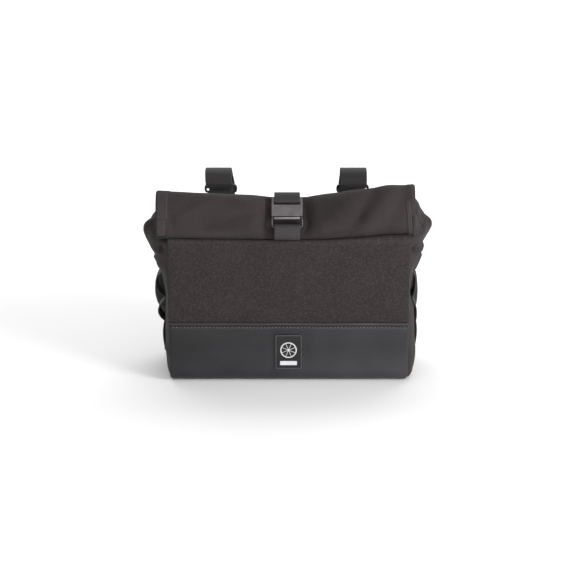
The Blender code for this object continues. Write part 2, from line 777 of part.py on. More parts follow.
def hook_frame(parent):
    """The wire frame that the hook holds and the lower strap is folded round."""
    upper, lower = frame_bars()
    path, normal = loop_path(PLATE_WIDTH + FRAME_WIRE / 2, upper, lower, FRAME_WIRE)
    path = [point + Vector((STRAP_X, 0, 0)) for point in path]
    frame = wire_loop("hook_frame", path, normal, FRAME_WIRE / 2, parent)
    give_material(frame, (0.13, 0.125, 0.125), 0.35, 0.9)
    return frame


BAR_CENTRE = (HALF_DEPTH + BAR_BEHIND, CREASE_HEIGHT + BAR_RISE)
STRAP_LINE = BAR_DIAMETER / 2 + GAP + GAP + BAR_STRAP_SHEET / 2
OUTER_LINE = STRAP_LINE + BAR_STRAP_SHEET + 1.4 * GAP
STRAP_LEAVES = math.radians(154)


def ring_bars():
    """The middles of a bar ring's upper and lower bars in YZ."""
    leave_y = BAR_CENTRE[0] + STRAP_LINE * math.cos(STRAP_LEAVES)
    leave_z = BAR_CENTRE[1] + STRAP_LINE * math.sin(STRAP_LEAVES)
    run = RING_RUN
    lift = RING_WIRE / 2 + GAP + BAR_STRAP_SHEET / 2
    down = (-math.sin(STRAP_LEAVES), math.cos(STRAP_LEAVES))
    out = (math.cos(STRAP_LEAVES), math.sin(STRAP_LEAVES))
    upper = (leave_y + down[0] * run + out[0] * lift, leave_z + down[1] * run + out[1] * lift)
    lower = (upper[0] + RING_LEAN, upper[1] - RING_LENGTH)
    return upper, lower


def bar_strap_path():
    """A bar strap's middle line, up the back, round the bar, through the ring and back."""
    face = HALF_DEPTH + GAP + BAR_STRAP_SHEET / 2
    bend = CREASE_HEIGHT - 0.5 * BAR_STRAP_SHEET
    reach = math.hypot(BAR_CENTRE[0] - face, BAR_CENTRE[1] - bend)
    towards = math.atan2(BAR_CENTRE[1] - bend, BAR_CENTRE[0] - face)
    start = math.degrees(towards - math.asin(STRAP_LINE / reach)) - 90
    upper, lower = ring_bars()
    lift = RING_WIRE / 2 + GAP + BAR_STRAP_SHEET / 2
    leave = math.degrees(STRAP_LEAVES)
    sheet = BAR_STRAP_SHEET
    path = [(face, bend - SEWN_LENGTH), (face, bend - SEWN_LENGTH / 2), (face, bend - 2 * sheet)]
    path.append((face + 0.25 * sheet, bend - 0.25 * sheet))
    path.append((face + 1.2 * sheet, bend + 1.5 * sheet))
    path += arc(BAR_CENTRE, STRAP_LINE, start, leave, 14)
    path += arc(upper, lift, leave - 180, leave - 360, 8)
    path += arc(BAR_CENTRE, OUTER_LINE, leave - 12, 8, 9)
    return path


def bar_strap(side, parent):
    """A wide strap: sewn up the back, round behind the bar, through its ring and back."""
    path = bar_strap_path()
    x = BAR_STRAP_X[side]
    half = BAR_STRAP_WIDTH / 2
    strap = ribbon("bar_strap_" + side, path, BAR_STRAP_SHEET, x - half, x + half, parent)
    give_material(strap, (0.030, 0.028, 0.028), 0.95)
    return strap


def bar_ring(side, parent):
    """The rectangular ring in front of the bar."""
    upper, lower = ring_bars()
    width = BAR_STRAP_WIDTH + 4 * GAP + 2 * RING_WIRE
    path, normal = loop_path(width, upper, lower, RING_WIRE)
    path = [point + Vector((BAR_STRAP_X[side], 0, 0)) for point in path]
    ring = wire_loop("bar_ring_" + side, path, normal, RING_WIRE / 2, parent)
    give_material(ring, (0.05, 0.05, 0.05), 0.4)
    return ring


def ring_tab_path():
    """A ring tab's middle line: two layers on the deck that part round the ring's bar."""
    lower = ring_bars()[1]
    lift = RING_WIRE / 2 + GAP + TAB_SHEET / 2
    layer = TAB_SHEET + GAP
    deck = deck_line(GAP + TAB_SHEET + GAP / 2)
    above, below = sides_of([deck[4], deck[3], lower], layer)
    reach = math.hypot(lower[0] - deck[3][0], lower[1] - deck[3][1])
    towards = math.degrees(math.atan2(lower[1] - deck[3][1], lower[0] - deck[3][0]))
    spread = math.degrees(math.asin((lift - layer / 2) / reach))
    path = [tuple(point) for point in below[:2]]
    path += arc(lower, lift, towards - 90 - spread, towards + 90 + spread, 8)
    path += [tuple(point) for point in above[1::-1]]
    return path


def ring_tab(side, parent):
    """A folded tab round the ring's lower bar, sewn down on the bag's rear deck."""
    path = ring_tab_path()
    x = BAR_STRAP_X[side]
    half = TAB_WIDTH / 2
    tab = ribbon("ring_tab_" + side, path, TAB_SHEET, x - half, x + half, parent,
                 shape=settle)
    give_material(tab, (0.045, 0.044, 0.044), 0.8)
    return tab


def side_webbing_path(side):
    """The side webbing's middle line in XZ, from its foot up."""
    heights = [SIDE_STRAP_FOOT]
    for low, high, left, right in LOOP_ROWS:
        for step in range(LOOP_STEPS + 1):
            heights.append(low + (high - low) * step / LOOP_STEPS)
    heights += [0.745, 0.779, SIDE_STRAP_HEAD]
    sign = -1 if side == "left" else 1
    path = []
    last = 0
    for height in heights:
        if height <= last:
            continue
        last = height
        x = HALF_WIDTH + gusset_reach(height * CREASE_HEIGHT, side)
        x += SIDE_STRAP_GAP + SIDE_STRAP_SHEET / 2 + loop_reach(height, side)
        path.append((sign * x, height * CREASE_HEIGHT))
    return path


def side_webbing(side, parent):
    """Webbing down the gusset, tacked flat between loops that stand away from it."""
    path = side_webbing_path(side)
    front = -HALF_DEPTH + FLAT_FROM * BODY_DEPTH + SIDE_STRAP_MARGIN
    back = -HALF_DEPTH + FLAT_TO * BODY_DEPTH - SIDE_STRAP_MARGIN
    webbing = ribbon("side_webbing_" + side, path, SIDE_STRAP_SHEET, front, back, parent,
                     upright=True, shape=settle)
    give_material(webbing, (0.060, 0.058, 0.058), 0.75)
    return webbing


def loop_reach(height, side):
    """How far a loop of the side webbing stands off the gusset at a height's share."""
    column = LOOP_COLUMNS.index(side)
    for row in LOOP_ROWS:
        if row[0] < height < row[1]:
            share = (height - row[0]) / (row[1] - row[0])
            return row[column] * LOOP_REACH * math.sin(math.pi * share) ** 0.8
    return 0


def build():
    for item in list(bpy.data.objects):
        bpy.data.objects.remove(item)
    root = bpy.data.objects.new("handlebar_bag", None)
    bpy.context.scene.collection.objects.link(root)
    bag_shell(root)
    front_panel(root)
    base_band(root)
    label_patch(root)
    closure_strap_upper(root)
    closure_strap_lower(root)
    hook_plate(root)
    hook_frame(root)
    for side in ("left", "right"):
        bar_strap(side, root)
        bar_ring(side, root)
        ring_tab(side, root)
        side_webbing(side, root)


build()
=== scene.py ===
"""The looks of the roll-top handlebar bag, dressed round its solids.

Metres, +Z up. The front panel faces -Y. Sizes and tables of shares are those of the solids,
so every refined piece lies where its solid does. Soft pieces are modelled as fine sheets,
strips and lofts with their folds, stitches and weave, and metal as bevelled or round wire.
"""

import math

import bmesh
import bpy
import numpy as np
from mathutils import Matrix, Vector, noise
from mathutils.bvhtree import BVHTree


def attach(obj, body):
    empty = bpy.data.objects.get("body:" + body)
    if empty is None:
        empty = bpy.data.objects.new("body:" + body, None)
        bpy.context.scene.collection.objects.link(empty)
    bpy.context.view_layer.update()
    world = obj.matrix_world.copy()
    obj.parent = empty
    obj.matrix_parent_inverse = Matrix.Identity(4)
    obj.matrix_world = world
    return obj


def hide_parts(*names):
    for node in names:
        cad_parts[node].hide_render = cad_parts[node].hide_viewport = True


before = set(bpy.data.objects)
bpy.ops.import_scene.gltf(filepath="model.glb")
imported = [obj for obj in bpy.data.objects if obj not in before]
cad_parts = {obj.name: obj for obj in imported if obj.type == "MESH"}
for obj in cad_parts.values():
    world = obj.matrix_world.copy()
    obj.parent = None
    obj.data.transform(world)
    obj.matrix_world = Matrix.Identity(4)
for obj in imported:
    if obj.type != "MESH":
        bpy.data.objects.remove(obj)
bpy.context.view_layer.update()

MM = 0.001
# Body of the bag
PANEL_WIDTH = 244 * MM
BODY_DEPTH = 96 * MM
CREASE_HEIGHT = 149.2 * MM
BASE_RADIUS = 8 * MM
BASE_STEPS = 3
EAR_REACH = 28 * MM
EAR_POINT = 5 * MM
REAR_BULGE = 9 * MM
WALL = 1.6 * MM
LAYER_GAP = 0.6 * MM
GAP = 0.3 * MM
# Rolled top
ROLL_WIDTH = 261 * MM
ROLL_LENGTH = 45 * MM
ROLL_THICKNESS = 19 * MM
ROLL_LEAN = math.radians(22)
ROLL_RISE = 18 * MM
ROLL_SETBACK = 15 * MM
ROLL_PITCH = 5 * MM
ROLL_NECK = math.radians(120)
ROLL_MOUTH = math.radians(570)
ROLL_STEPS = 20
ROLL_LIFT = 13 * MM
ROLL_FULLNESS = 5 * MM
# Front panel, lower band and label
PANEL_SHEET = 1.4 * MM
PANEL_FOOT = 12 * MM
PANEL_FOLD = 2.6 * MM
PANEL_HEM = 1.6 * MM
SHOULDER_DROP = 3 * MM
BAND_SHEET = 1.6 * MM
BAND_HEIGHT = 63.2 * MM
BAND_BACK_HEIGHT = 26 * MM
LABEL_WIDTH = 27 * MM
LABEL_HEIGHT = 36.6 * MM
LABEL_BOTTOM = 14.7 * MM
LABEL_X = -0.2 * MM
LABEL_SHEET = 1.2 * MM
LABEL_BORDER = 1.3 * MM
LABEL_RELIEF = 0.6 * MM
LABEL_CORNER = 1.6 * MM
# Closure strap, hook plate and frame. The hook's place is measured up the roll's face from
# its middle and out from it, and the plate's own sizes up from the hook.
STRAP_X = -1.6 * MM
STRAP_WIDTH = 26 * MM
STRAP_SHEET = 1.4 * MM
HOOK_UP = 0.9 * MM
HOOK_OUT = 12.6 * MM
PLATE_LEAN = math.radians(37)
PLATE_WIDTH = 31 * MM
PLATE_LENGTH = 20.5 * MM
PLATE_SHEET = 1.3 * MM
SLOT_TOP = 16.3 * MM
FRAME_WIRE = 2.2 * MM
FRAME_LENGTH = 9.8 * MM
FRAME_LEAN = 0.8 * MM
# Straps, rings and tabs that the bag hangs from
BAR_DIAMETER = 25.4 * MM
BAR_BEHIND = 8 * MM
BAR_RISE = 34 * MM
BAR_STRAP_WIDTH = 28 * MM
BAR_STRAP_SHEET = 2 * MM
BAR_STRAP_X = {"left": -71.3 * MM, "right": 67 * MM}
SEWN_LENGTH = 38 * MM
RING_WIRE = 2.5 * MM
RING_LENGTH = 7.2 * MM
RING_RUN = 5 * MM
RING_LEAN = 1.6 * MM
TAB_SHEET = 1.4 * MM
TAB_WIDTH = 24 * MM
# Webbing on the gussets
SIDE_STRAP_SHEET = 1.5 * MM
SIDE_STRAP_GAP = 0.55 * MM
SIDE_STRAP_MARGIN = 1 * MM
HALF_DEPTH = BODY_DEPTH / 2
HALF_WIDTH = PANEL_WIDTH / 2
HALF_ROLL = ROLL_WIDTH / 2
SHEET = 2 * WALL + LAYER_GAP
BASE_HEIGHT = BAND_SHEET + GAP
PANEL_FACE = -HALF_DEPTH - GAP - PANEL_SHEET
BAND_FACE = PANEL_FACE - GAP - BAND_SHEET
LABEL_FIELD = BAND_FACE - GAP - LABEL_SHEET
LABEL_MIDDLE = LABEL_BOTTOM + LABEL_HEIGHT / 2
HOOK_REACH = FRAME_WIRE / 2 + GAP + PLATE_SHEET / 2
# Gusset profile between the base and the crease. Height is a share of CREASE_HEIGHT, left
# and right of EAR_REACH past the side seam, bulge_left and bulge_right of REAR_BULGE.
GUSSET_COLUMNS = ("height", "left", "right", "bulge_left", "bulge_right")
GUSSET_ROWS = (
    (0.000, 0.16, 0.19, 0.00, 0.00),
    (0.068, 0.18, 0.21, 0.00, 0.00),
    (0.182, 0.23, 0.30, 0.00, 0.00),
    (0.290, 0.23, 0.32, 0.05, 0.00),
    (0.370, 0.21, 0.32, 0.15, 0.05),
    (0.450, 0.21, 0.29, 0.55, 0.15),
    (0.530, 0.19, 0.18, 0.90, 0.45),
    (0.612, 0.18, 0.11, 1.00, 0.70),
    (0.705, 0.28, 0.20, 0.40, 0.35),
    (0.779, 0.44, 0.39, 0.00, 0.00),
    (0.840, 0.60, 0.52, 0.00, 0.00),
    (0.892, 0.77, 0.64, 0.00, 0.00),
    (0.939, 0.92, 0.77, 0.00, 0.00),
)
# The top of the bag, from the shoulders to the neck of the roll. Front points are shares of
# ROLL_SETBACK and SHOULDER_DROP, back points of the way to the neck and of ROLL_RISE. The
# widths run from the panel's (0) to the roll's (1), the ears are shares of EAR_REACH.
# Each row: front in, front drop, back in, back rise, width, left, right.
SHOULDER_ROWS = (
    (0.03, 1.50, 0.007, 0.11, 0.00, 1.00, 0.91),
    (0.20, 1.05, 0.050, 0.48, 0.05, 0.97, 0.89),
    (0.47, 0.90, 0.140, 0.77, 0.20, 0.88, 0.80),
    (0.80, 0.85, 0.267, 0.97, 0.40, 0.76, 0.69),
)
# The same, where the front layer climbs behind the roll: along and behind are shares of
# the roll's half length and half thickness.
# Each row: along, behind, back in, back rise, width, left, right.
NECK_ROWS = (
    (-0.66, 0.90, 0.444, 1.15, 0.60, 0.60, 0.56),
    (-0.38, 0.88, 0.652, 1.25, 0.80, 0.47, 0.45),
    (0.00, 0.85, 0.830, 1.29, 0.95, 0.38, 0.37),
    (0.28, 0.79, 0.940, 1.31, 1.00, 0.34, 0.34),
)
ROLL_END = 0.34
# How the roll settles along its length: x is a share of half the roll, crease and top are
# shares of ROLL_LIFT, full of ROLL_FULLNESS. The strap pinches it flat in the middle.
SETTLE_COLUMNS = ("x", "crease", "top", "full")
SETTLE_ROWS = (
    (-1.00, 0.12, 0.48, 0.30),
    (-0.75, 0.10, 0.37, 0.60),
    (-0.50, 0.06, 0.23, 0.90),
    (-0.28, 0.02, 0.17, 1.00),
    (-0.14, 0.00, 0.00, 0.00),
    (0.14, 0.00, 0.00, 0.00),
    (0.28, 0.04, 0.25, 1.00),
    (0.50, 0.17, 0.50, 0.90),
    (0.75, 0.41, 0.87, 0.70),
    (1.00, 0.50, 1.00, 0.40),
)
# Loops sewn into the side webbing: low and high are shares of CREASE_HEIGHT, left and right
# of LOOP_REACH.
LOOP_REACH = 8.7 * MM
LOOP_COLUMNS = ("low", "high", "left", "right")
LOOP_ROWS = (
    (0.178, 0.359, 0.12, 0.12),
    (0.359, 0.501, 0.72, 0.12),
    (0.535, 0.706, 1.00, 0.50),
)
SIDE_STRAP_FOOT = 0.143
SIDE_STRAP_HEAD = 0.819
LOOP_STEPS = 8
ACROSS = (-1.0, -0.80, -0.55, -0.30, -0.13, 0.0, 0.13, 0.30, 0.55, 0.80, 1.0)
GUSSET_STATIONS = (0.05, 0.16, 0.354, 0.479, 0.604, 0.72, 0.86, 0.96)
FLAT_FROM = 0.354
FLAT_TO = 0.604
# How squarely a gusset turns at its front and at its rear
FRONT_TURN = 1.8
REAR_TURN = 2.5
# Steps of a webbing's turn round a bar
TURN_STEPS = 8


def clamp(value, low, high):
    """The value, held between low and high."""
    return max(low, min(high, value))


def bell(value, middle, reach):
    """1 at the middle, falling off smoothly about a reach to each side."""
    return math.exp(-((value - middle) / reach) ** 2)


def window(value, marks):
    """1 between the two inner marks, falling smoothly to 0 at the outer ones."""
    return smooth(value, *marks[:2]) * (1 - smooth(value, *marks[2:]))


def clear_of(x, middle, width, margin=0):
    """0 on what lies about the middle, rising smoothly to 1 a width away."""
    return smooth(abs(x - middle), width / 2 + margin, width)


def smooth(value, start, end):
    """Rises smoothly from 0 at start to 1 at end."""
    share = clamp((value - start) / (end - start), 0, 1)
    return share * share * (3 - 2 * share)


def look_up(rows, columns, key, name):
    """Reads the named column at key, which runs along the rows' first column."""
    column = columns.index(name)
    if key <= rows[0][0]:
        return rows[0][column]
    for low, high in zip(rows, rows[1:]):
        if key <= high[0]:
            share = (key - low[0]) / (high[0] - low[0])
            return low[column] + share * (high[column] - low[column])
    return rows[-1][column]


def mix(a, b, share):
    """The point a share of the way from a to b in a plane."""
    return (a[0] + (b[0] - a[0]) * share, a[1] + (b[1] - a[1]) * share)


# The roll's own directions in the YZ plane: up its face, and out of its face to the front.
ROLL_CENTRE = (-HALF_DEPTH + ROLL_SETBACK, CREASE_HEIGHT + ROLL_RISE)
UP_ROLL = (math.sin(ROLL_LEAN), math.cos(ROLL_LEAN))
OUT_OF_ROLL = (-math.cos(ROLL_LEAN), math.sin(ROLL_LEAN))


def on_roll(along, out):
    """A YZ point given along the roll's face and out of it, from the roll's middle."""
    y = ROLL_CENTRE[0] + UP_ROLL[0] * along + OUT_OF_ROLL[0] * out
    z = ROLL_CENTRE[1] + UP_ROLL[1] * along + OUT_OF_ROLL[1] * out
    return (y, z)


def roll_line(angle, offset=0):
    """The double sheet's middle line, round the roll from its lowest point up its rear."""
    shrink = ROLL_PITCH * (angle - ROLL_NECK) / (2 * math.pi)
    along = (ROLL_LENGTH / 2 - shrink + offset) * -math.cos(angle)
    out = (ROLL_THICKNESS / 2 - shrink + offset) * -math.sin(angle)
    return on_roll(along, out)


def settle(point):
    """Moves a point of the soft body as the strap and the load settle the roll."""
    share = point.x / HALF_ROLL
    crease = look_up(SETTLE_ROWS, SETTLE_COLUMNS, share, "crease") * ROLL_LIFT
    top = look_up(SETTLE_ROWS, SETTLE_COLUMNS, share, "top") * ROLL_LIFT
    full = look_up(SETTLE_ROWS, SETTLE_COLUMNS, share, "full") * ROLL_FULLNESS
    above = clamp((point.z - CREASE_HEIGHT) / (2.2 * ROLL_RISE), 0, 1)
    below = smooth(point.z, 0.66 * CREASE_HEIGHT, CREASE_HEIGHT)
    forward = 1 - smooth(point.y, -0.1 * HALF_DEPTH, 0.85 * HALF_DEPTH)
    lift = (crease * below + (top - crease) * above) * forward
    y = point.y - ROLL_CENTRE[0]
    z = point.z - ROLL_CENTRE[1]
    out = OUT_OF_ROLL[0] * y + OUT_OF_ROLL[1] * z
    bulge = clamp(2 * out / ROLL_THICKNESS, 0, 1)
    bulge *= smooth(point.z, CREASE_HEIGHT - GAP, CREASE_HEIGHT + ROLL_RISE / 2)
    return Vector((point.x, point.y - full * bulge, point.z + lift))


def arc(centre, radius, start, end, steps):
    """Points on an arc in a plane, angles in degrees."""
    points = []
    for step in range(steps + 1):
        angle = math.radians(start + (end - start) * step / steps)
        y = centre[0] + radius * math.cos(angle)
        z = centre[1] + radius * math.sin(angle)
        points.append((y, z))
    return points


def curve_through(points, steps):
    """A smooth curve through a few points, Catmull-Rom, with steps parts in each span."""
    ends = [points[0], *points, points[-1]]
    result = []
    for a, b, c, d in zip(ends, ends[1:], ends[2:], ends[3:]):
        for step in range(steps):
            t = step / steps
            result.append(tuple(
                0.5 * (2 * b[k] + (c[k] - a[k]) * t
                       + (2 * a[k] - 5 * b[k] + 4 * c[k] - d[k]) * t ** 2
                       + (3 * b[k] - a[k] - 3 * c[k] + d[k]) * t ** 3)
                for k in (0, 1)))
    result.append(points[-1])
    return result


def sides_of(path, thickness):
    """The two lines that run half a thickness to each side of a plane path."""
    left = []
    right = []
    last = len(path) - 1
    for index, point in enumerate(path):
        before = Vector(path[max(index - 1, 0)])
        after = Vector(path[min(index + 1, last)])
        here = Vector(point)
        first = (here - before).normalized() if index > 0 else (after - here).normalized()
        second = (after - here).normalized() if index < last else first
        along = (first + second).normalized()
        stretch = 1 / max(along.dot(first), 0.7)
        offset = Vector((-along.y, along.x)) * thickness / 2 * stretch
        left.append(here + offset)
        right.append(here - offset)
    return left, right


def rounded_oblong(width, height, corner, steps):
    """Corner points of a rectangle with round corners, about its middle."""
    points = []
    for quarter in range(4):
        sign_x = (1, -1, -1, 1)[quarter]
        sign_y = (1, 1, -1, -1)[quarter]
        centre = (sign_x * (width / 2 - corner), sign_y * (height / 2 - corner))
        points += arc(centre, corner, 90 * quarter, 90 * quarter + 90, steps)
    return points


def gusset_reach(height, side):
    """How far the gusset stands past the side seam where the webbing lies."""
    return look_up(GUSSET_ROWS, GUSSET_COLUMNS, height / CREASE_HEIGHT, side) * EAR_REACH


def body_stations():
    """Outlines of the bag from its base to the mouth inside the roll.

    Each has its front and back YZ points, half width there, ear reach left and right,
    bulge left and right, and how far the ear comes to a point.
    """
    stations = []
    for step in range(BASE_STEPS + 1):
        angle = math.pi / 2 * step / BASE_STEPS
        inset = BASE_RADIUS * (1 - math.sin(angle))
        height = BASE_HEIGHT + BASE_RADIUS * (1 - math.cos(angle))
        y = HALF_DEPTH - inset
        reach = [gusset_reach(height, side) for side in ("left", "right")]
        stations.append(((-y, height), (y, height), HALF_WIDTH - inset, reach, (0, 0), 0))
    for height, left, right, bulge_left, bulge_right in GUSSET_ROWS[2:]:
        z = height * CREASE_HEIGHT
        reach = [left * EAR_REACH, right * EAR_REACH]
        bulge = (bulge_left * REAR_BULGE, bulge_right * REAR_BULGE)
        point = EAR_POINT * smooth(height, SIDE_STRAP_HEAD, 1)
        stations.append(((-HALF_DEPTH, z), (HALF_DEPTH, z), HALF_WIDTH, reach, bulge, point))
    neck = roll_line(ROLL_NECK)
    for front_in, drop, back_in, rise, width, left, right in SHOULDER_ROWS:
        front = (-HALF_DEPTH + front_in * ROLL_SETBACK, CREASE_HEIGHT - drop * SHOULDER_DROP)
        stations.append(top_station(front, neck, back_in, rise, width, left, right))
    for along, behind, back_in, rise, width, left, right in NECK_ROWS:
        front = on_roll(along * ROLL_LENGTH / 2, -behind * ROLL_THICKNESS / 2)
        stations.append(top_station(front, neck, back_in, rise, width, left, right))
    for step in range(ROLL_STEPS + 1):
        angle = ROLL_NECK + (ROLL_MOUTH - ROLL_NECK) * step / ROLL_STEPS
        front = roll_line(angle, -SHEET / 2)
        back = roll_line(angle, SHEET / 2)
        reach = [ROLL_END * ROLL_THICKNESS / 4 for side in range(2)]
        stations.append((front, back, HALF_ROLL - reach[0], reach, (0, 0), 0))
    return stations


def top_station(front, neck, back_in, rise, width, left, right):
    """An outline between the shoulders and the neck."""
    back_y = HALF_DEPTH + (neck[0] + SHEET / 2 - HALF_DEPTH) * back_in
    back = (back_y, CREASE_HEIGHT + rise * ROLL_RISE)
    half = HALF_WIDTH + (HALF_ROLL - HALF_WIDTH) * width
    tips = [HALF_WIDTH + share * EAR_REACH for share in (left, right)]
    reach = [max(tip - half, ROLL_END * ROLL_THICKNESS / 4) for tip in tips]
    return (front, back, half, reach, (0, 0), EAR_POINT * (1 - width))


def gusset_x(share, half, reach, bulge, point):
    """How far out the gusset lies at a share of the way from its front to its back."""
    if share <= FLAT_FROM:
        rise = 1 - (1 - share / FLAT_FROM) ** FRONT_TURN
        return half + (reach - point) * rise
    if share < FLAT_TO:
        middle = 1 - abs(2 * share - FLAT_FROM - FLAT_TO) / (FLAT_TO - FLAT_FROM)
        return half + reach - point * (1 - middle)
    fall = (share - FLAT_TO) / (1 - FLAT_TO)
    return half + (reach - point) * (1 - fall ** REAR_TURN) + bulge * math.sin(math.pi * fall)


def outline(station, inset):
    """The closed ring of points at a station, drawn in by the inset at its ends."""
    front, back, half, reach, bulge, point = station
    half = half - inset
    ring = []
    for share in ACROSS:
        ring.append(Vector((share * half, *front)))
    for share in GUSSET_STATIONS:
        x = gusset_x(share, half, reach[1], bulge[1], point)
        ring.append(Vector((x, *mix(front, back, share))))
    for share in reversed(ACROSS):
        ring.append(Vector((share * half, *back)))
    for share in reversed(GUSSET_STATIONS):
        x = gusset_x(share, half, reach[0], bulge[0], point)
        ring.append(Vector((-x, *mix(front, back, share))))
    return ring


def panel_path():
    """The front panel's middle line, up its face and in over its folded top edge."""
    middle = PANEL_FACE + PANEL_SHEET / 2
    top = CREASE_HEIGHT - PANEL_SHEET / 2
    path = [(middle, PANEL_FOOT)]
    for share in (0.25, 0.5, 0.66, 0.75, 0.83, 0.9):
        path.append((middle, share * CREASE_HEIGHT))
    path += arc((middle + PANEL_FOLD, top - PANEL_FOLD), PANEL_FOLD, 180, 90, 4)
    path.append((middle + PANEL_FOLD + PANEL_HEM, top))
    return path


def band_path():
    """The base band's middle line, down the front, under the base and up the back."""
    front = BAND_FACE + BAND_SHEET / 2
    back = HALF_DEPTH + GAP + BAND_SHEET / 2
    bottom = BAND_SHEET / 2
    radius = BASE_RADIUS + GAP + BAND_SHEET / 2
    front_radius = radius + GAP + PANEL_SHEET
    path = [(front, BAND_HEIGHT)]
    path += arc((front + front_radius, bottom + front_radius), front_radius, 180, 270, 5)
    path += arc((back - radius, bottom + radius), radius, 270, 360, 5)
    path.append((back, BAND_BACK_HEIGHT))
    return path


def on_plate(along, out):
    """A YZ point given up the hook plate and out of it, from the frame's upper bar."""
    bar = frame_bars()[0]
    y = bar[0] + math.sin(PLATE_LEAN) * along - math.cos(PLATE_LEAN) * out
    z = bar[1] + math.cos(PLATE_LEAN) * along + math.sin(PLATE_LEAN) * out
    return (y, z)


def upper_strap_path():
    """The upper webbing's middle line, from its end under the plate to its end at the back."""
    lift = PLATE_SHEET / 2 + GAP + STRAP_SHEET / 2
    top = ROLL_LENGTH / 2 + SHEET / 2
    layer = STRAP_SHEET + GAP
    under = [
        on_roll(top + 0.14 * STRAP_SHEET, -0.02 * ROLL_THICKNESS),
        on_roll(top - 0.29 * STRAP_SHEET, 0.18 * ROLL_THICKNESS),
        on_plate(1.1 * PLATE_LENGTH, HOOK_REACH - lift - 0.29 * STRAP_SHEET),
        on_plate(0.975 * PLATE_LENGTH, HOOK_REACH - lift),
        on_plate(SLOT_TOP, HOOK_REACH - lift),
    ]
    fold = []
    for step in range(1, TURN_STEPS):
        angle = math.pi * step / TURN_STEPS
        fold.append(on_plate(SLOT_TOP - lift * math.sin(angle),
                             HOOK_REACH - lift * math.cos(angle)))
    over = [
        on_plate(SLOT_TOP, HOOK_REACH + lift),
        on_plate(PLATE_LENGTH, HOOK_REACH + lift),
        on_roll(top + layer - 0.07 * STRAP_SHEET, 0.39 * ROLL_THICKNESS),
        on_roll(top + layer + 0.5 * STRAP_SHEET, 0.105 * ROLL_THICKNESS),
        on_roll(top + layer - 0.43 * STRAP_SHEET, -0.263 * ROLL_THICKNESS),
    ]
    tail = deck_line(GAP + STRAP_SHEET / 2)[3:6]
    return curve_through(under, 3) + fold + curve_through(over + tail[2:], 3) + tail[1::-1]


def deck_line(lift):
    """YZ points a small height above the bag's rear shoulder and deck, from the back on."""
    neck = roll_line(ROLL_NECK)
    deck = [Vector((HALF_DEPTH, GUSSET_ROWS[-1][0] * CREASE_HEIGHT))]
    for back_in, rise in [(row[2], row[3]) for row in SHOULDER_ROWS + NECK_ROWS]:
        y = HALF_DEPTH + (neck[0] + SHEET / 2 - HALF_DEPTH) * back_in
        deck.append(Vector((y, CREASE_HEIGHT + rise * ROLL_RISE)))
    line = []
    for before, here, after in zip(deck, deck[1:], deck[2:]):
        along = ((here - before).normalized() + (after - here).normalized()).normalized()
        stretch = 1 / along.dot((after - here).normalized())
        line.append(tuple(here + Vector((along.y, -along.x)) * lift * stretch))
    return line


def frame_bars():
    """The YZ middles of the hook frame's upper and lower bars."""
    upper = on_roll(HOOK_UP, HOOK_OUT)
    lower = on_roll(HOOK_UP - FRAME_LENGTH, HOOK_OUT - FRAME_LEAN)
    return upper, lower


def lower_strap_path():
    """The lower webbing's middle line, from the crease to its end behind the frame."""
    along = HOOK_UP - FRAME_LENGTH
    out = HOOK_OUT - FRAME_LEAN
    lift = FRAME_WIRE / 2 + GAP + STRAP_SHEET / 2
    crease = CREASE_HEIGHT + GAP + STRAP_SHEET / 2
    fold_y = PANEL_FACE + PANEL_SHEET + PANEL_FOLD
    over = [
        (fold_y + 0.46 * PANEL_FOLD, crease + 0.07 * STRAP_SHEET),
        (fold_y - 0.58 * PANEL_FOLD, crease + 0.36 * STRAP_SHEET),
        (fold_y - 1.69 * PANEL_FOLD, crease + 1.38 * PANEL_FOLD),
        on_roll(along - 0.2 * FRAME_LENGTH, out + lift),
        on_roll(along, out + lift),
    ]
    fold = []
    for step in range(1, TURN_STEPS):
        angle = math.pi * step / TURN_STEPS
        fold.append(on_roll(along + lift * math.sin(angle), out + lift * math.cos(angle)))
    under = [
        on_roll(along, out - lift),
        on_roll(along - 0.245 * FRAME_LENGTH, out - lift + 0.14 * STRAP_SHEET),
        on_roll(along - 0.61 * FRAME_LENGTH, out - lift + 0.43 * STRAP_SHEET),
    ]
    return curve_through(over, 4) + fold + curve_through(under, 2)


def loop_path(across, upper, lower, wire):
    """A closed oblong round two bar middles in YZ, with rounded corners."""
    low = Vector((0, *lower))
    high = Vector((0, *upper))
    up = high - low
    middle = (high + low) / 2
    length = up.length
    direction = up.normalized()
    path = []
    for x, along in rounded_oblong(across - wire, length, wire * 0.8, 3):
        path.append(middle + Vector((x, 0, 0)) + direction * along)
    normal = Vector((1, 0, 0)).cross(direction)
    return path, normal


BAR_CENTRE = (HALF_DEPTH + BAR_BEHIND, CREASE_HEIGHT + BAR_RISE)
STRAP_LINE = BAR_DIAMETER / 2 + GAP + GAP + BAR_STRAP_SHEET / 2
OUTER_LINE = STRAP_LINE + BAR_STRAP_SHEET + 1.4 * GAP
STRAP_LEAVES = math.radians(154)


def ring_bars():
    """The middles of a bar ring's upper and lower bars in YZ."""
    leave_y = BAR_CENTRE[0] + STRAP_LINE * math.cos(STRAP_LEAVES)
    leave_z = BAR_CENTRE[1] + STRAP_LINE * math.sin(STRAP_LEAVES)
    lift = RING_WIRE / 2 + GAP + BAR_STRAP_SHEET / 2
    down = (-math.sin(STRAP_LEAVES), math.cos(STRAP_LEAVES))
    out = (math.cos(STRAP_LEAVES), math.sin(STRAP_LEAVES))
    upper = (leave_y + down[0] * RING_RUN + out[0] * lift,
             leave_z + down[1] * RING_RUN + out[1] * lift)
    lower = (upper[0] + RING_LEAN, upper[1] - RING_LENGTH)
    return upper, lower


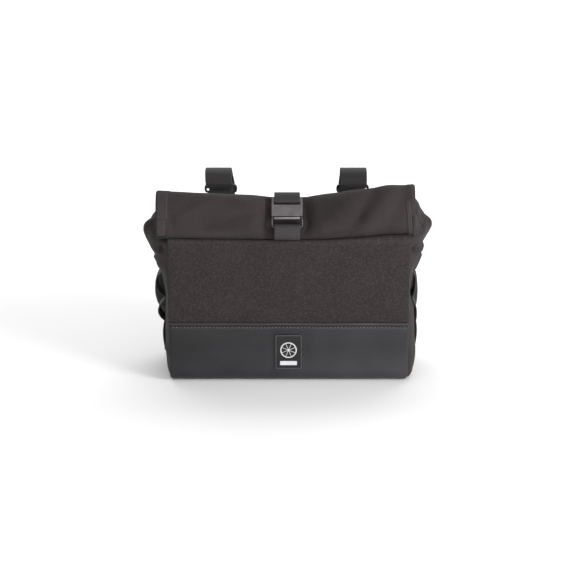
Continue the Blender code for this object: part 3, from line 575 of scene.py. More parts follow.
def bar_strap_path():
    """A bar strap's middle line, up the back, round its loop, through the ring and back."""
    face = HALF_DEPTH + GAP + BAR_STRAP_SHEET / 2
    bend = CREASE_HEIGHT - 0.5 * BAR_STRAP_SHEET
    reach = math.hypot(BAR_CENTRE[0] - face, BAR_CENTRE[1] - bend)
    towards = math.atan2(BAR_CENTRE[1] - bend, BAR_CENTRE[0] - face)
    start = math.degrees(towards - math.asin(STRAP_LINE / reach)) - 90
    upper = ring_bars()[0]
    lift = RING_WIRE / 2 + GAP + BAR_STRAP_SHEET / 2
    leave = math.degrees(STRAP_LEAVES)
    sheet = BAR_STRAP_SHEET
    path = [(face, bend - SEWN_LENGTH), (face, bend - SEWN_LENGTH / 2), (face, bend - 2 * sheet)]
    path.append((face + 0.25 * sheet, bend - 0.25 * sheet))
    path.append((face + 1.2 * sheet, bend + 1.5 * sheet))
    path += arc(BAR_CENTRE, STRAP_LINE, start, leave, 14)
    path += arc(upper, lift, leave - 180, leave - 360, 8)
    path += arc(BAR_CENTRE, OUTER_LINE, leave - 12, 8, 9)
    return path


def ring_tab_path():
    """A ring tab's middle line: two layers on the deck that part round the ring's bar."""
    lower = ring_bars()[1]
    lift = RING_WIRE / 2 + GAP + TAB_SHEET / 2
    layer = TAB_SHEET + GAP
    deck = deck_line(GAP + TAB_SHEET + GAP / 2)
    above, below = sides_of([deck[4], deck[3], lower], layer)
    reach = math.hypot(lower[0] - deck[3][0], lower[1] - deck[3][1])
    towards = math.degrees(math.atan2(lower[1] - deck[3][1], lower[0] - deck[3][0]))
    spread = math.degrees(math.asin((lift - layer / 2) / reach))
    path = [tuple(point) for point in below[:2]]
    path += arc(lower, lift, towards - 90 - spread, towards + 90 + spread, 8)
    path += [tuple(point) for point in above[1::-1]]
    return path


def side_webbing_path(side):
    """The side webbing's middle line in XZ, from its foot up."""
    heights = [SIDE_STRAP_FOOT]
    for low, high, *_ in LOOP_ROWS:
        for step in range(LOOP_STEPS + 1):
            heights.append(low + (high - low) * step / LOOP_STEPS)
    heights += [0.745, 0.779, SIDE_STRAP_HEAD]
    sign = -1 if side == "left" else 1
    path = []
    last = 0
    for height in heights:
        if height <= last:
            continue
        last = height
        x = HALF_WIDTH + gusset_reach(height * CREASE_HEIGHT, side)
        x += SIDE_STRAP_GAP + SIDE_STRAP_SHEET / 2 + loop_reach(height, side)
        path.append((sign * x, height * CREASE_HEIGHT))
    return path


def loop_reach(height, side):
    """How far a loop of the side webbing stands off the gusset at a height's share."""
    column = LOOP_COLUMNS.index(side)
    for row in LOOP_ROWS:
        if row[0] < height < row[1]:
            share = (height - row[0]) / (row[1] - row[0])
            return row[column] * LOOP_REACH * math.sin(math.pi * share) ** 0.8
    return 0


# Steps of the refined shell, and of the round edges of strips
PANEL_STEPS = 96
GUSSET_STEPS = 36
SHELL_PITCH = 1.7 * MM
EDGE_STEPS = 4
# Steps across and pitch along each kind of strip
FINENESS = {
    "panel": (110, 1.6 * MM),
    "band": (110, 1.8 * MM),
    "closure": (26, 0.7 * MM),
    "bar_strap": (28, 1.0 * MM),
    "narrow": (22, 0.8 * MM),
}
# A span this many times its neighbour's length is kept straight
LONG_SPAN = 2.5
# Pitches along the wire loops and of the points where a strip is read for its seams
LOOP_PITCH = 0.5 * MM
STRIP_READ = 0.5 * MM
# Steps along a seam between two marks, on a strip, on the front and along the band
SEAM_STEPS = 12
FRONT_SEAM_STEPS = 16
BAND_SEAM_STEPS = 120
SEAM_MARGIN = 2.5 * MM
TACK_PITCH = 0.5 * MM
# A stitch: how far along it each of its rings lies, and the ring's rise and size as shares
# of the thread's thickness
STITCH_ROWS = ((0, -0.3, 0.6), (0.2, 0.25, 1), (0.5, 0.4, 1), (0.8, 0.25, 1), (1, -0.3, 0.6))
STITCH_SIDES = 6
# Patches: steps across and along, how far they sink into the cloth, and their edges' share of
# the sheet; how often a taut one is pulled, and the way out of it
PATCH_STEPS = (12, 28)
PATCH_SINK = 0.2 * MM
PATCH_EDGE = 0.45
TAUT_TURNS = 60
TAUT_WAY = (0.35, -0.94, 0)
# Hems at the roll's two ends
HEM_WIDTH = 11 * MM
HEM_RISE = 0.5 * MM
# How far the roll's right end is drawn in and its left end out, over the last run of the neck
# and from this far along the roll
ROLL_DRAW = 3.4 * MM
ROLL_SPREAD = 3.4 * MM
NECK_RUN = 16 * MM
DRAW_FROM = 0.3 * HALF_ROLL
# How far below the crease the cloth starts to drape
SHOULDER_RUN = 6 * MM
# How far the gussets' feet stand out past their plain rounding
FOOT_FULLNESS = {"left": -0.6 * MM, "right": 3.2 * MM}
# Where the side webbing holds the gussets' cloth flat: along Y, and up in shares of the crease
WEBBING_ACROSS = (-18 * MM, -13 * MM, 9 * MM, 14 * MM)
WEBBING_UP = (0.10, 0.14, 0.83, 0.88)
# The gussets' waist, where they pleat: its middle and reach in shares of the crease's height
WAIST = (0.66, 0.16)
# How far each bar strap is carried aside at the top of its loop
STRAP_SKEWS = {"left": -2.8 * MM, "right": 1.3 * MM}
# The even swell of the panel and the band, the band's belly, hem and seam, and how far the
# band's lower corners are drawn in
PANEL_SWELL = 0.55 * MM
BAND_SWELL = 0.225 * MM
BAND_BELLY = 0.9 * MM
BAND_HEM = 0.45 * MM
BAND_SEAM = 0.3 * MM
BAND_DRAWN = 1.4 * MM
# Waves of the cloth: how each direction is stretched, then the reach in millimetres, the seed
# and the height in millimetres
WAVES = {
    "ripple": ((1, 3, 0), 34, 1, 0.55),
    "fine_ripple": ((1, 2, 0), 13, 5, 0.22),
    "drape": ((1, 0.45, 1), 24, 3, 1.1),
    "fine_drape": ((1, 1, 1), 9, 4, 0.44),
    "back": ((1, 1, 1), 38, 7, 0.9),
    "pleat": ((0, 1, 0.35), 13, 9, 1.4),
    "gusset": ((1, 1, 1), 30, 11, 0.8),
    "panel_swell": ((1, 0, 1), 42, 13, 0.55),
    "fine_panel_swell": ((1, 0, 1), 15, 17, 0.275),
    "panel_edge": ((1, 0, 0), 20, 19, 0.5),
    "band_swell": ((1, 0, 1.5), 48, 23, 0.225),
    "band_edge": ((1, 0, 0), 17, 29, 0.35),
    "pile": ((1, 1, 0), 2.5, 0, 0.12),
    "strap_edge": ((1, 0.3, 1), 7, 0, 0.35),
}

# Painted shade on the shell's cloth: darker in its folds and hollows, beside the buckle, on the
# ears and gussets where they turn from the light, and behind the side loops. One row, with a
# share above 1, is painted light under the roll's lower left. Each row gives the place and the
# reach in millimetres, and the share of the colour that is left in the middle.
SHADE_COLUMNS = ("x", "y", "z", "wide", "deep", "tall", "left")
PAINTED_SHADE_AND_LIGHT = (
    (0, -50, 172, 33, 40, 26, 0.52),
    (46, -50, 184, 42, 40, 30, 0.66),
    (-75, -50, 152, 62, 40, 9, 1.35),
    (-143, -10, 168, 18, 60, 28, 0.50),
    (-128, -45, 152, 9, 30, 5, 0.45),
    (-129.5, -38, 139, 3.4, 16, 9, 0.45),
    (125.5, -38, 141, 3.6, 16, 7, 0.50),
    (-132, 30, 84, 22, 34, 46, 0.30),
    (126, 30, 82, 14, 26, 34, 0.45),
    (126, -30, 84, 14, 60, 80, 0.68),
    (-126, -20, 40, 10, 60, 60, 0.60),
)

# Soft folds of the roll's face. Each runs from one point to another, x as a share of half the
# roll and up as a share of half its length; deep is in millimetres, below zero a crease, and
# wide is its half width in millimetres.
FOLD_COLUMNS = ("x_from", "up_from", "x_to", "up_to", "deep", "wide")
ROLL_FOLDS = (
    (-0.120, -0.20, 0.100, -0.20, -4.0, 6.0),
    (-0.145, 0.90, -0.165, -0.85, -4.4, 5.0),
    (-0.225, 0.10, -0.420, 0.80, 2.0, 7.0),
    (-0.240, -0.60, -0.640, -0.85, 2.2, 6.0),
    (-0.300, 0.15, -0.640, -0.35, -2.4, 7.0),
    (-0.560, 0.85, -0.840, 0.10, 2.4, 8.0),
    (-0.720, 0.85, -0.900, -0.20, -1.6, 6.0),
    (-0.860, -0.20, -0.700, -0.85, 1.6, 7.0),
    (0.070, 0.95, 0.082, -0.85, -6.0, 9.5),
    (0.200, 0.70, 0.250, -0.30, 1.0, 6.0),
    (0.250, 0.00, 0.330, -0.80, -1.3, 7.0),
    (0.480, 0.90, 0.290, -0.60, 2.2, 9.0),
    (0.640, 0.85, 0.540, -0.10, -2.8, 6.5),
    (0.540, -0.10, 0.420, -0.95, -2.8, 6.5),
    (0.780, 0.85, 0.600, -0.80, 2.4, 8.5),
    (0.880, 0.60, 0.760, -0.75, -1.2, 6.0),
)

# Soft folds of the gussets: y is a share of half the depth, from the front at -1, and up of
# the height of the crease; long and tall are how far the fold reaches in the same shares, and
# deep is in millimetres, below zero a crease.
GUSSET_FOLD_COLUMNS = ("side", "y", "up", "long", "tall", "deep")
GUSSET_FOLDS = (
    ("left", 0.64, 0.45, 0.30, 0.21, 9.8),
    ("right", 0.62, 0.49, 0.30, 0.20, 7.6),
    ("left", -0.60, 0.10, 0.60, 0.10, 0.8),
    ("right", -0.60, 0.12, 0.60, 0.12, 3.2),
    ("left", -0.86, 0.93, 0.10, 0.035, -3.0),
    ("right", -0.84, 0.93, 0.10, 0.035, -3.4),
    ("right", -0.45, 0.925, 0.60, 0.016, -2.4),
    ("right", -0.40, 0.900, 0.55, 0.020, 1.6),
    ("left", -0.55, 0.86, 0.40, 0.022, -1.6),
    ("left", -0.50, 0.79, 0.50, 0.030, 1.4),
    ("right", -0.70, 0.74, 0.25, 0.040, -1.4),
    ("left", -0.75, 0.20, 0.20, 0.050, 1.2),
    ("left", -0.75, 0.11, 0.20, 0.035, -1.0),
)


def span_of(knots, marks):
    """Which span between the knots each mark lies in."""
    return np.clip(np.searchsorted(knots, marks, side="right") - 1, 0, len(knots) - 2)


def refine(values, knots, wanted):
    """Smooth curves through rows of values at their knots, read at the wanted knots."""
    values = np.asarray(values, float)
    knots = np.asarray(knots, float)
    wide = (-1,) + (1,) * (values.ndim - 1)
    spans = np.diff(knots)
    slopes = np.diff(values, axis=0) / spans.reshape(wide)
    before = np.concatenate([slopes[:1], slopes])
    after = np.concatenate([slopes, slopes[-1:]])
    left = np.concatenate([spans[:1], spans])
    right = np.concatenate([spans, spans[-1:]])
    weight = (left / (left + right)).reshape(wide)
    tangent = before * (1 - weight) + after * weight
    index = span_of(knots, wanted)
    span = spans[index].reshape(wide)
    t = ((np.asarray(wanted) - knots[index]).reshape(wide)) / span
    start = values[index] * (2 * t ** 3 - 3 * t ** 2 + 1)
    end = values[index + 1] * (3 * t ** 2 - 2 * t ** 3)
    leave = tangent[index] * (t ** 3 - 2 * t ** 2 + t) * span
    arrive = tangent[index + 1] * (t ** 3 - t ** 2) * span
    return start + end + leave + arrive


def eased(values, knots):
    """Adds rows near the ends of long straight runs, so that a curve keeps them straight."""
    values = np.asarray(values, float)
    spans = np.diff(knots)
    marks = set(knots)
    for index, span in enumerate(spans):
        before = spans[max(index - 1, 0)]
        after = spans[min(index + 1, len(spans) - 1)]
        if span > LONG_SPAN * before:
            marks.add(knots[index] + before)
        if span > LONG_SPAN * after:
            marks.add(knots[index + 1] - after)
    marks = np.array(sorted(marks))
    index = span_of(knots, marks)
    share = (marks - knots[index]) / spans[index]
    share = share.reshape((-1,) + (1,) * (values.ndim - 1))
    return values[index] * (1 - share) + values[index + 1] * share, marks


def lengths_along(line):
    """The distance from a line's first point to each of its points."""
    steps = np.linalg.norm(np.diff(np.asarray(line, float), axis=0), axis=1)
    return np.concatenate([[0], np.cumsum(steps)])


def length_of(line):
    """The whole length of a line."""
    return lengths_along(line)[-1]


def ring_faces(first, second, count):
    """The faces between two rings of points that start at first and at second."""
    faces = []
    for step in range(count):
        turn = (step + 1) % count
        faces.append((first + step, first + turn, second + turn, second + step))
    return faces


def mesh_of(name, points, faces):
    """A new mesh of points and faces."""
    mesh = bpy.data.meshes.new(name)
    mesh.from_pydata([tuple(point) for point in points], [], faces)
    return mesh


def facing_out(mesh):
    """The mesh with its faces turned outward and shaded smooth."""
    work = bmesh.new()
    work.from_mesh(mesh)
    bmesh.ops.recalc_face_normals(work, faces=work.faces)
    work.to_mesh(mesh)
    work.free()
    mesh.shade_smooth()
    return mesh


def grid_mesh(name, rings, across, along, ends=None):
    """A closed tube of rings, with UVs in metres.

    One face closes each end, or strips where ends gives the front and gusset columns.
    """
    rows, columns = rings.shape[:2]
    points = rings.reshape(-1, 3).tolist()
    faces = []
    places = []
    for row in range(rows - 1):
        faces += ring_faces(row * columns, (row + 1) * columns, columns)
        for column in range(columns):
            u = (across[column], across[column + 1])
            v = (along[row], along[row + 1])
            places += [u[0], v[0], u[1], v[0], u[1], v[1], u[0], v[1]]
    for start in (0, (rows - 1) * columns):
        cap = end_strips(start, *ends) if ends else [tuple(range(start, start + columns))]
        faces += cap
        for face in cap:
            for corner in face:
                places += points[corner][:2]
    mesh = mesh_of(name, points, faces)
    layer = mesh.uv_layers.new(name="cloth")
    layer.data.foreach_set("uv", np.array(places, dtype=np.float32))
    return facing_out(mesh)


def end_strips(start, front, gusset):
    """Faces from a ring's front columns to its back ones."""
    back = start + front + gusset
    faces = []
    for column in range(front - 1):
        a = start + column
        b = back + front - 1 - column
        faces.append((a, a + 1, b - 1, b))
    faces.append(tuple(range(start + front - 1, back + 1)))
    faces.append((*range(back + front - 1, back + front + gusset), start))
    return faces


def add_object(name, data):
    """A new object in the scene."""
    item = bpy.data.objects.new(name, data)
    bpy.context.scene.collection.objects.link(item)
    return item


def piece(name, mesh, material, node=None, finish=None):
    """Puts a mesh in the scene as a piece, in the place of its solid if it has one."""
    mesh.materials.append(material)
    item = add_object(name, mesh)
    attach(item, "root")
    if node:
        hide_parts(node)
    finish or node
    return item


def section_of(sheet, low, high, steps):
    """A flat strip's cross-section with round edges: places across it and heights."""
    radius = sheet / 2
    flat = np.linspace(low + radius, high - radius, steps + 1)
    turn = np.linspace(math.pi / 2, -math.pi / 2, EDGE_STEPS + 1)[1:-1]
    places = np.concatenate([
        flat, high - radius + radius * np.cos(turn),
        flat[::-1], low + radius - radius * np.cos(turn)])
    heights = np.concatenate([
        np.full(steps + 1, radius), radius * np.sin(turn),
        np.full(steps + 1, -radius), -radius * np.sin(turn)])
    return places, heights


def fine_line(path, pitch):
    """A plane path read at even steps, with its outward directions and distances."""
    line = np.array([tuple(point) for point in path])
    knots = lengths_along(line)
    wanted = np.linspace(0, knots[-1], max(int(knots[-1] / pitch), 8) + 1)
    fine = refine(*eased(line, knots), wanted)
    along = np.gradient(fine, axis=0)
    along /= np.linalg.norm(along, axis=1)[:, None]
    out = np.stack([-along[:, 1], along[:, 0]], axis=1)
    return fine, out, wanted


def strip(name, path, sheet, low, high, steps, pitch, upright=False, shape=None, relief=None):
    """A strip of cloth or webbing along a plane path, as a fine closed mesh."""
    fine, out, distances = fine_line(path, pitch)
    places, heights = section_of(sheet, low, high, steps)
    rings = np.empty((len(fine), len(places), 3))
    for row in range(len(fine)):
        rise = heights
        if relief:
            lift = np.array([relief(place, distances[row]) for place in places])
            rise = heights + lift * np.sign(heights)
        plane = fine[row] + out[row] * rise[:, None]
        if upright:
            rings[row] = np.stack([plane[:, 0], places, plane[:, 1]], axis=1)
        else:
            rings[row] = np.stack([places, plane[:, 0], plane[:, 1]], axis=1)
    if shape:
        flat = rings.reshape(-1, 3)
        rings = np.array([shape(Vector(point)) for point in flat]).reshape(rings.shape)
    section = np.stack([places, heights], axis=1)
    around = lengths_along(np.concatenate([section, section[:1]]))
    return grid_mesh(name, rings, around, distances)


def on_strip(path, sheet, distance, place, upright=False, shape=None):
    """A point on a strip's outer face and the way out of it."""
    fine, out, distances = fine_line(path, STRIP_READ)
    row = int(np.argmin(np.abs(distances - distance)))
    plane = fine[row] + out[row] * sheet / 2
    point = (plane[0], place, plane[1]) if upright else (place, plane[0], plane[1])
    way = (out[row][0], 0, out[row][1]) if upright else (0, out[row][0], out[row][1])
    point = Vector(point)
    return (shape(point) if shape else point), Vector(way)


def wire_mesh(name, path, normal, radius, sides=20):
    """A round wire along a closed plane path."""
    points = []
    count = len(path)
    for index, point in enumerate(path):
        along = (path[(index + 1) % count] - path[index - 1]).normalized()
        inward = normal.cross(along)
        for side in range(sides):
            angle = 2 * math.pi * side / sides
            points.append(point + (inward * math.cos(angle) + normal * math.sin(angle)) * radius)
    faces = []
    for index in range(count):
        faces += ring_faces(index * sides, (index + 1) % count * sides, sides)
    mesh = mesh_of(name, points, faces)
    mesh.shade_smooth()
    return mesh


def stitches(name, runs, material, finish, long=2.2 * MM, gap=0.9 * MM, thick=0.5 * MM):
    """Rows of stitches as one mesh. Each run is a list of (point, way out) along its seam."""
    points = []
    faces = []
    sides = STITCH_SIDES
    marks, rise, size = np.array(STITCH_ROWS).T
    rise = rise * thick
    size = size * thick / 2
    last = len(marks) - 1
    for run in runs:
        seam = np.array([[*point, *way] for point, way in run])
        knots = lengths_along(seam[:, :3])
        count = max(int(knots[-1] / (long + gap)), 1)
        pitch = knots[-1] / count
        for stitch in range(count):
            places = stitch * pitch + gap / 2 + marks * (pitch - gap)
            read = np.stack([np.interp(places, knots, seam[:, k]) for k in range(6)], axis=1)
            first = len(points)
            for mark, place in enumerate(read):
                centre = Vector(place[:3]) + Vector(place[3:]) * rise[mark]
                up = Vector(place[3:]).normalized()
                along = read[min(mark + 1, last)][:3] - read[max(mark - 1, 0)][:3]
                side_way = Vector(along).normalized().cross(up).normalized()
                for side in range(sides):
                    angle = 2 * math.pi * side / sides
                    ring = up * math.sin(angle) + side_way * math.cos(angle)
                    points.append(centre + ring * size[mark])
            for start in range(first, first + last * sides, sides):
                faces += ring_faces(start, start + sides, sides)
            faces.append(tuple(range(first + sides - 1, first - 1, -1)))
            faces.append(tuple(range(first + last * sides, len(points))))
    return piece(name, facing_out(mesh_of(name, points, faces)), material, finish=finish)


# Colour of the flecks in the weave, and the webbing's ribs
FLECK_COLOUR = (0.088, 0.076, 0.074)
RIB_PITCH = 1.3 * MM
RIB_TURN = 4.3 * MM
RIB_SLANT = 3.2 * math.pi
THREAD_PITCH = 0.7 * MM


class Shade:
    """Adds and joins the nodes of one material."""

    def __init__(self, name):
        self.material = bpy.data.materials.new(name)
        self.material.use_nodes = True
        self.tree = self.material.node_tree
        self.shader = self.tree.nodes["Principled BSDF"]

    def set(self, **values):
        """Feeds the shader's own sockets, named with underscores for spaces."""
        for name, value in values.items():
            self.feed(self.shader.inputs[name.replace("_", " ")], value)

    def node(self, kind, inputs=(), **settings):
        """A new node with its inputs fed and its settings made."""
        node = self.tree.nodes.new(kind)
        for name, value in settings.items():
            setattr(node, name, value)
        for place, value in dict(inputs).items():
            self.feed(node.inputs[place], value)
        return node

    def feed(self, socket, value):
        """Links a socket to another, or gives it a value."""
        if isinstance(value, bpy.types.NodeSocket):
            self.tree.links.new(value, socket)
        else:
            socket.default_value = (*value, 1) if socket.type == "RGBA" else value

    def maths(self, operation, first, second=0.0, third=0.0):
        inputs = {0: first, 1: second, 2: third}
        return self.node("ShaderNodeMath", inputs, operation=operation).outputs[0]

    def vectors(self, operation, inputs):
        return self.node("ShaderNodeVectorMath", inputs, operation=operation).outputs

    def here(self):
        """The place in the object's own coordinates."""
        return self.node("ShaderNodeTexCoord").outputs["Object"]

    def parts(self, place):
        """The three parts of a place."""
        return self.node("ShaderNodeSeparateXYZ", {0: place}).outputs

    def noise(self, scale, detail, stretch=None):
        vector = self.here()
        if stretch:
            mapping = self.node("ShaderNodeMapping", {"Vector": vector, "Scale": stretch})
            vector = mapping.outputs[0]
        inputs = {"Vector": vector, "Scale": scale, "Detail": detail}
        return self.node("ShaderNodeTexNoise", inputs).outputs["Fac"]

    def between(self, value, low, high, bottom=0.0, top=1.0):
        inputs = {"Value": value, "From Min": low, "From Max": high, "To Min": bottom,
                  "To Max": top}
        return self.node("ShaderNodeMapRange", inputs).outputs[0]

    def wave(self, place, pitch):
        """A sine along a place, from -1 to 1, with one turn in a pitch."""
        return self.maths("SINE", self.maths("MULTIPLY", place, 2 * math.pi / pitch))

    def halved(self, value):
        """A value from -1 to 1 brought to 0 to 1."""
        return self.maths("MULTIPLY_ADD", value, 0.5, 0.5)

    def tint(self, factor, dark, light):
        """A colour that runs from dark to light with the factor."""
        inputs = {0: factor, 6: dark, 7: light}
        return self.node("ShaderNodeMix", inputs, data_type="RGBA").outputs[2]

    def scaled(self, colour, factor):
        """A colour times a factor."""
        return self.vectors("SCALE", {0: colour, 3: factor})[0]

    def shaded(self, colour, rows):
        """A colour scaled towards each row's share near its place: painted shade, and painted
        light where a share is above 1.
        """
        if not rows:
            return colour
        place = self.here()
        total = 1.0
        for row in rows:
            spot = dict(zip(SHADE_COLUMNS, row))
            centre = [spot[key] * MM for key in ("x", "y", "z")]
            reach = [1 / (spot[key] * MM) for key in ("wide", "deep", "tall")]
            moved = self.vectors("SUBTRACT", {0: place, 1: centre})[0]
            sized = self.vectors("MULTIPLY", {0: moved, 1: reach})[0]
            far = self.vectors("LENGTH", {0: sized})[1]
            near = self.between(far, 0.25, 1.0, spot["left"], 1.0)
            total = self.maths("MULTIPLY", near, total)
        return self.scaled(colour, total)

    def bump(self, height, distance, strength, under=None):
        inputs = {"Height": height, "Distance": distance, "Strength": strength}
        if under:
            inputs["Normal"] = under
        return self.node("ShaderNodeBump", inputs).outputs[0]

    def cloth_place(self):
        """The place on the cloth in metres, and its two parts."""
        place = self.node("ShaderNodeUVMap", uv_map="cloth").outputs[0]
        return place, self.parts(place)


def woven(name, dark, light, pitch, flecks=0.0, roughness=0.85, sheen=0.25, relief=0.12 * MM,
          shaded=()):
    """Plain-woven cloth: over-and-under yarns, uneven yarn colour, flecks and soft mottling."""
    shade = Shade(name)
    place, parts = shade.cloth_place()
    over = shade.maths("MULTIPLY", shade.wave(parts[0], 2 * pitch),
                       shade.wave(parts[1], 2 * pitch))
    over = shade.halved(over)
    yarn = shade.noise(1 / (0.9 * MM), 3.0)
    mottle = shade.between(shade.noise(28.0, 3.0), 0.3, 0.7, -0.10, 0.10)
    factor = shade.maths("MULTIPLY_ADD", over, 0.45, shade.between(yarn, 0.3, 0.7, 0.05, 0.5))
    colour = shade.tint(shade.maths("ADD", factor, mottle), dark, light)
    if flecks:
        cells = shade.vectors("SNAP", {0: place, 1: (pitch, pitch, 1)})[0]
        spots = shade.node("ShaderNodeTexWhiteNoise", {0: cells}, noise_dimensions="2D")
        mask = shade.between(spots.outputs[0], 0.35, 1.0, 0.0, flecks)
        mask = shade.maths("MULTIPLY", mask, shade.between(over, 0.3, 0.9, 0.1, 1.0))
        colour = shade.tint(mask, colour, FLECK_COLOUR)
    rough = shade.between(yarn, 0.3, 0.7, roughness - 0.06, roughness + 0.06)
    normal = shade.bump(over, relief, 0.6, shade.bump(yarn, 0.10 * MM, 0.5))
    shade.set(Base_Color=shade.shaded(colour, shaded), Roughness=rough, Normal=normal,
              Sheen_Weight=sheen, Sheen_Roughness=0.5, Specular_IOR_Level=0.18)
    return shade.material


def coated(name):
    """Smooth coated cloth: a fine pebble grain, a soft sheen, faint rubbed patches and painted
    light.
    """
    shade = Shade(name)
    grain = shade.noise(1 / (0.55 * MM), 4.0)
    rubbed = shade.noise(22.0, 4.0)
    factor = shade.maths("MULTIPLY_ADD", grain, 0.35, shade.between(rubbed, 0.35, 0.7, 0.1, 0.5))
    x, _, z = shade.parts(shade.here())
    # Painted light: paler towards the foot and to the right, and a painted highlight along the
    # top edge.
    foot = shade.between(z, 1 * MM, 40 * MM, 2.1, 1.0)
    side = shade.between(x, -HALF_WIDTH, HALF_WIDTH, 0.76, 1.32)
    edge = shade.between(z, BAND_HEIGHT - 1.1 * MM, BAND_HEIGHT - 0.6 * MM, 1.0, 3.2)
    painted_light = shade.maths("MULTIPLY", shade.maths("MULTIPLY", foot, side), edge)
    colour = shade.tint(factor, (0.0076, 0.0073, 0.0082), (0.0178, 0.0172, 0.0192))
    broad = shade.bump(shade.noise(70.0, 3.0), 0.3 * MM, 0.35)
    shade.set(Base_Color=shade.scaled(colour, painted_light),
              Roughness=shade.between(rubbed, 0.3, 0.7, 0.36, 0.48),
              Normal=shade.bump(grain, 0.07 * MM, 0.4, broad), Specular_IOR_Level=0.22)
    return shade.material


def ribbed(name, dark, light, shaded=()):
    """Woven webbing: slanted ribs that turn back in a herringbone, and fine cross threads."""
    shade = Shade(name)
    across, along = shade.cloth_place()[1][:2]
    zigzag = shade.maths("PINGPONG", shade.maths("MULTIPLY", across, 1 / RIB_TURN), 1.0)
    turns = shade.maths("MULTIPLY", along, 2 * math.pi / RIB_PITCH)
    slant = shade.maths("MULTIPLY_ADD", zigzag, RIB_SLANT, turns)
    ribs = shade.halved(shade.maths("SINE", slant))
    threads = shade.halved(shade.wave(across, THREAD_PITCH))
    wear = shade.noise(1 / (1.6 * MM), 3.0)
    factor = shade.maths("MULTIPLY_ADD", ribs, 0.45, shade.between(wear, 0.3, 0.7, 0.05, 0.45))
    low = shade.bump(threads, 0.06 * MM, 0.5)
    shade.set(Base_Color=shade.shaded(shade.tint(factor, dark, light), shaded),
              Roughness=shade.between(wear, 0.3, 0.7, 0.6, 0.75),
              Normal=shade.bump(ribs, 0.14 * MM, 0.7, low),
              Sheen_Weight=0.06, Sheen_Roughness=0.4, Specular_IOR_Level=0.3)
    return shade.material


def pile(name):
    """Fuzzy loop tape: a matted pile in clumps."""
    shade = Shade(name)
    clumps = shade.noise(1 / (1.4 * MM), 5.0)
    hairs = shade.noise(1 / (0.4 * MM), 3.0, stretch=(1.0, 0.35, 0.35))
    factor = shade.maths("MULTIPLY_ADD", clumps, 0.6, shade.between(hairs, 0.35, 0.7, 0.0, 0.4))
    low = shade.bump(clumps, 0.35 * MM, 0.8)
    shade.set(Base_Color=shade.tint(factor, (0.0098, 0.0090, 0.0088), (0.0335, 0.0308, 0.0303)),
              Normal=shade.bump(hairs, 0.15 * MM, 0.8, low), Roughness=0.95,
              Sheen_Weight=0.12, Sheen_Roughness=0.6, Specular_IOR_Level=0.15)
    return shade.material


def satin_metal(name, colour, roughness, shaded=()):
    """Dark anodised metal with a fine bead-blasted tooth and faint handling marks."""
    shade = Shade(name)
    tooth = shade.noise(1 / (0.25 * MM), 3.0)
    marks = shade.noise(1 / (7 * MM), 4.0)
    light = tuple(part * 1.25 for part in colour)
    tint = shade.tint(shade.between(marks, 0.3, 0.7), colour, light)
    shade.set(Base_Color=shade.shaded(tint, shaded),
              Roughness=shade.between(marks, 0.3, 0.7, roughness - 0.04, roughness + 0.06),
              Normal=shade.bump(tooth, 0.02 * MM, 0.35), Metallic=0.85)
    return shade.material


def moulded(name, dark, light, roughness, tooth=0.35 * MM, painted_light=None):
    """Moulded plastic or rubber with a fine texture, and a painted highlight on what stands in
    front of painted_light.
    """
    shade = Shade(name)
    grain = shade.noise(1 / tooth, 3.0)
    marks = shade.noise(1 / (5 * MM), 3.0)
    factor = shade.maths("MULTIPLY_ADD", grain, 0.3, shade.between(marks, 0.3, 0.7, 0.1, 0.6))
    colour = shade.tint(factor, dark, light)
    if painted_light is not None:
        # Painted highlight: the raised rim, in front of the depth painted_light, is made paler.
        y = shade.parts(shade.here())[1]
        rim = shade.between(y, painted_light - LABEL_RELIEF, painted_light - 0.5 * LABEL_RELIEF, 6.5, 1.0)
        colour = shade.scaled(colour, rim)
    shade.set(Base_Color=colour,
              Roughness=shade.between(marks, 0.3, 0.7, roughness - 0.05, roughness + 0.08),
              Normal=shade.bump(grain, 0.05 * MM, 0.4),
              Specular_IOR_Level=0.4 if painted_light is None else 0.25)
    return shade.material


def wave(name, place):
    """How far one of the waves lifts the cloth at a place."""
    stretch, reach, seed, height = WAVES[name]
    place = Vector([part * share for part, share in zip(place, stretch)])
    offset = Vector((seed, 2.7 * seed, -1.3 * seed))
    return noise.noise(place / (reach * MM) + offset) * height * MM


def fold_height(x, up):
    """How far the roll's folds lift its face at a place on it."""
    height = 0
    for row in ROLL_FOLDS:
        fold = dict(zip(FOLD_COLUMNS, row))
        start = Vector((fold["x_from"] * HALF_ROLL, fold["up_from"] * ROLL_LENGTH / 2))
        end = Vector((fold["x_to"] * HALF_ROLL, fold["up_to"] * ROLL_LENGTH / 2))
        run = end - start
        here = Vector((x, up)) - start
        share = here.dot(run) / run.length_squared
        off = (here - run * clamp(share, 0, 1)).length
        height += fold["deep"] * MM * bell(off, 0, fold["wide"] * MM)
    return height


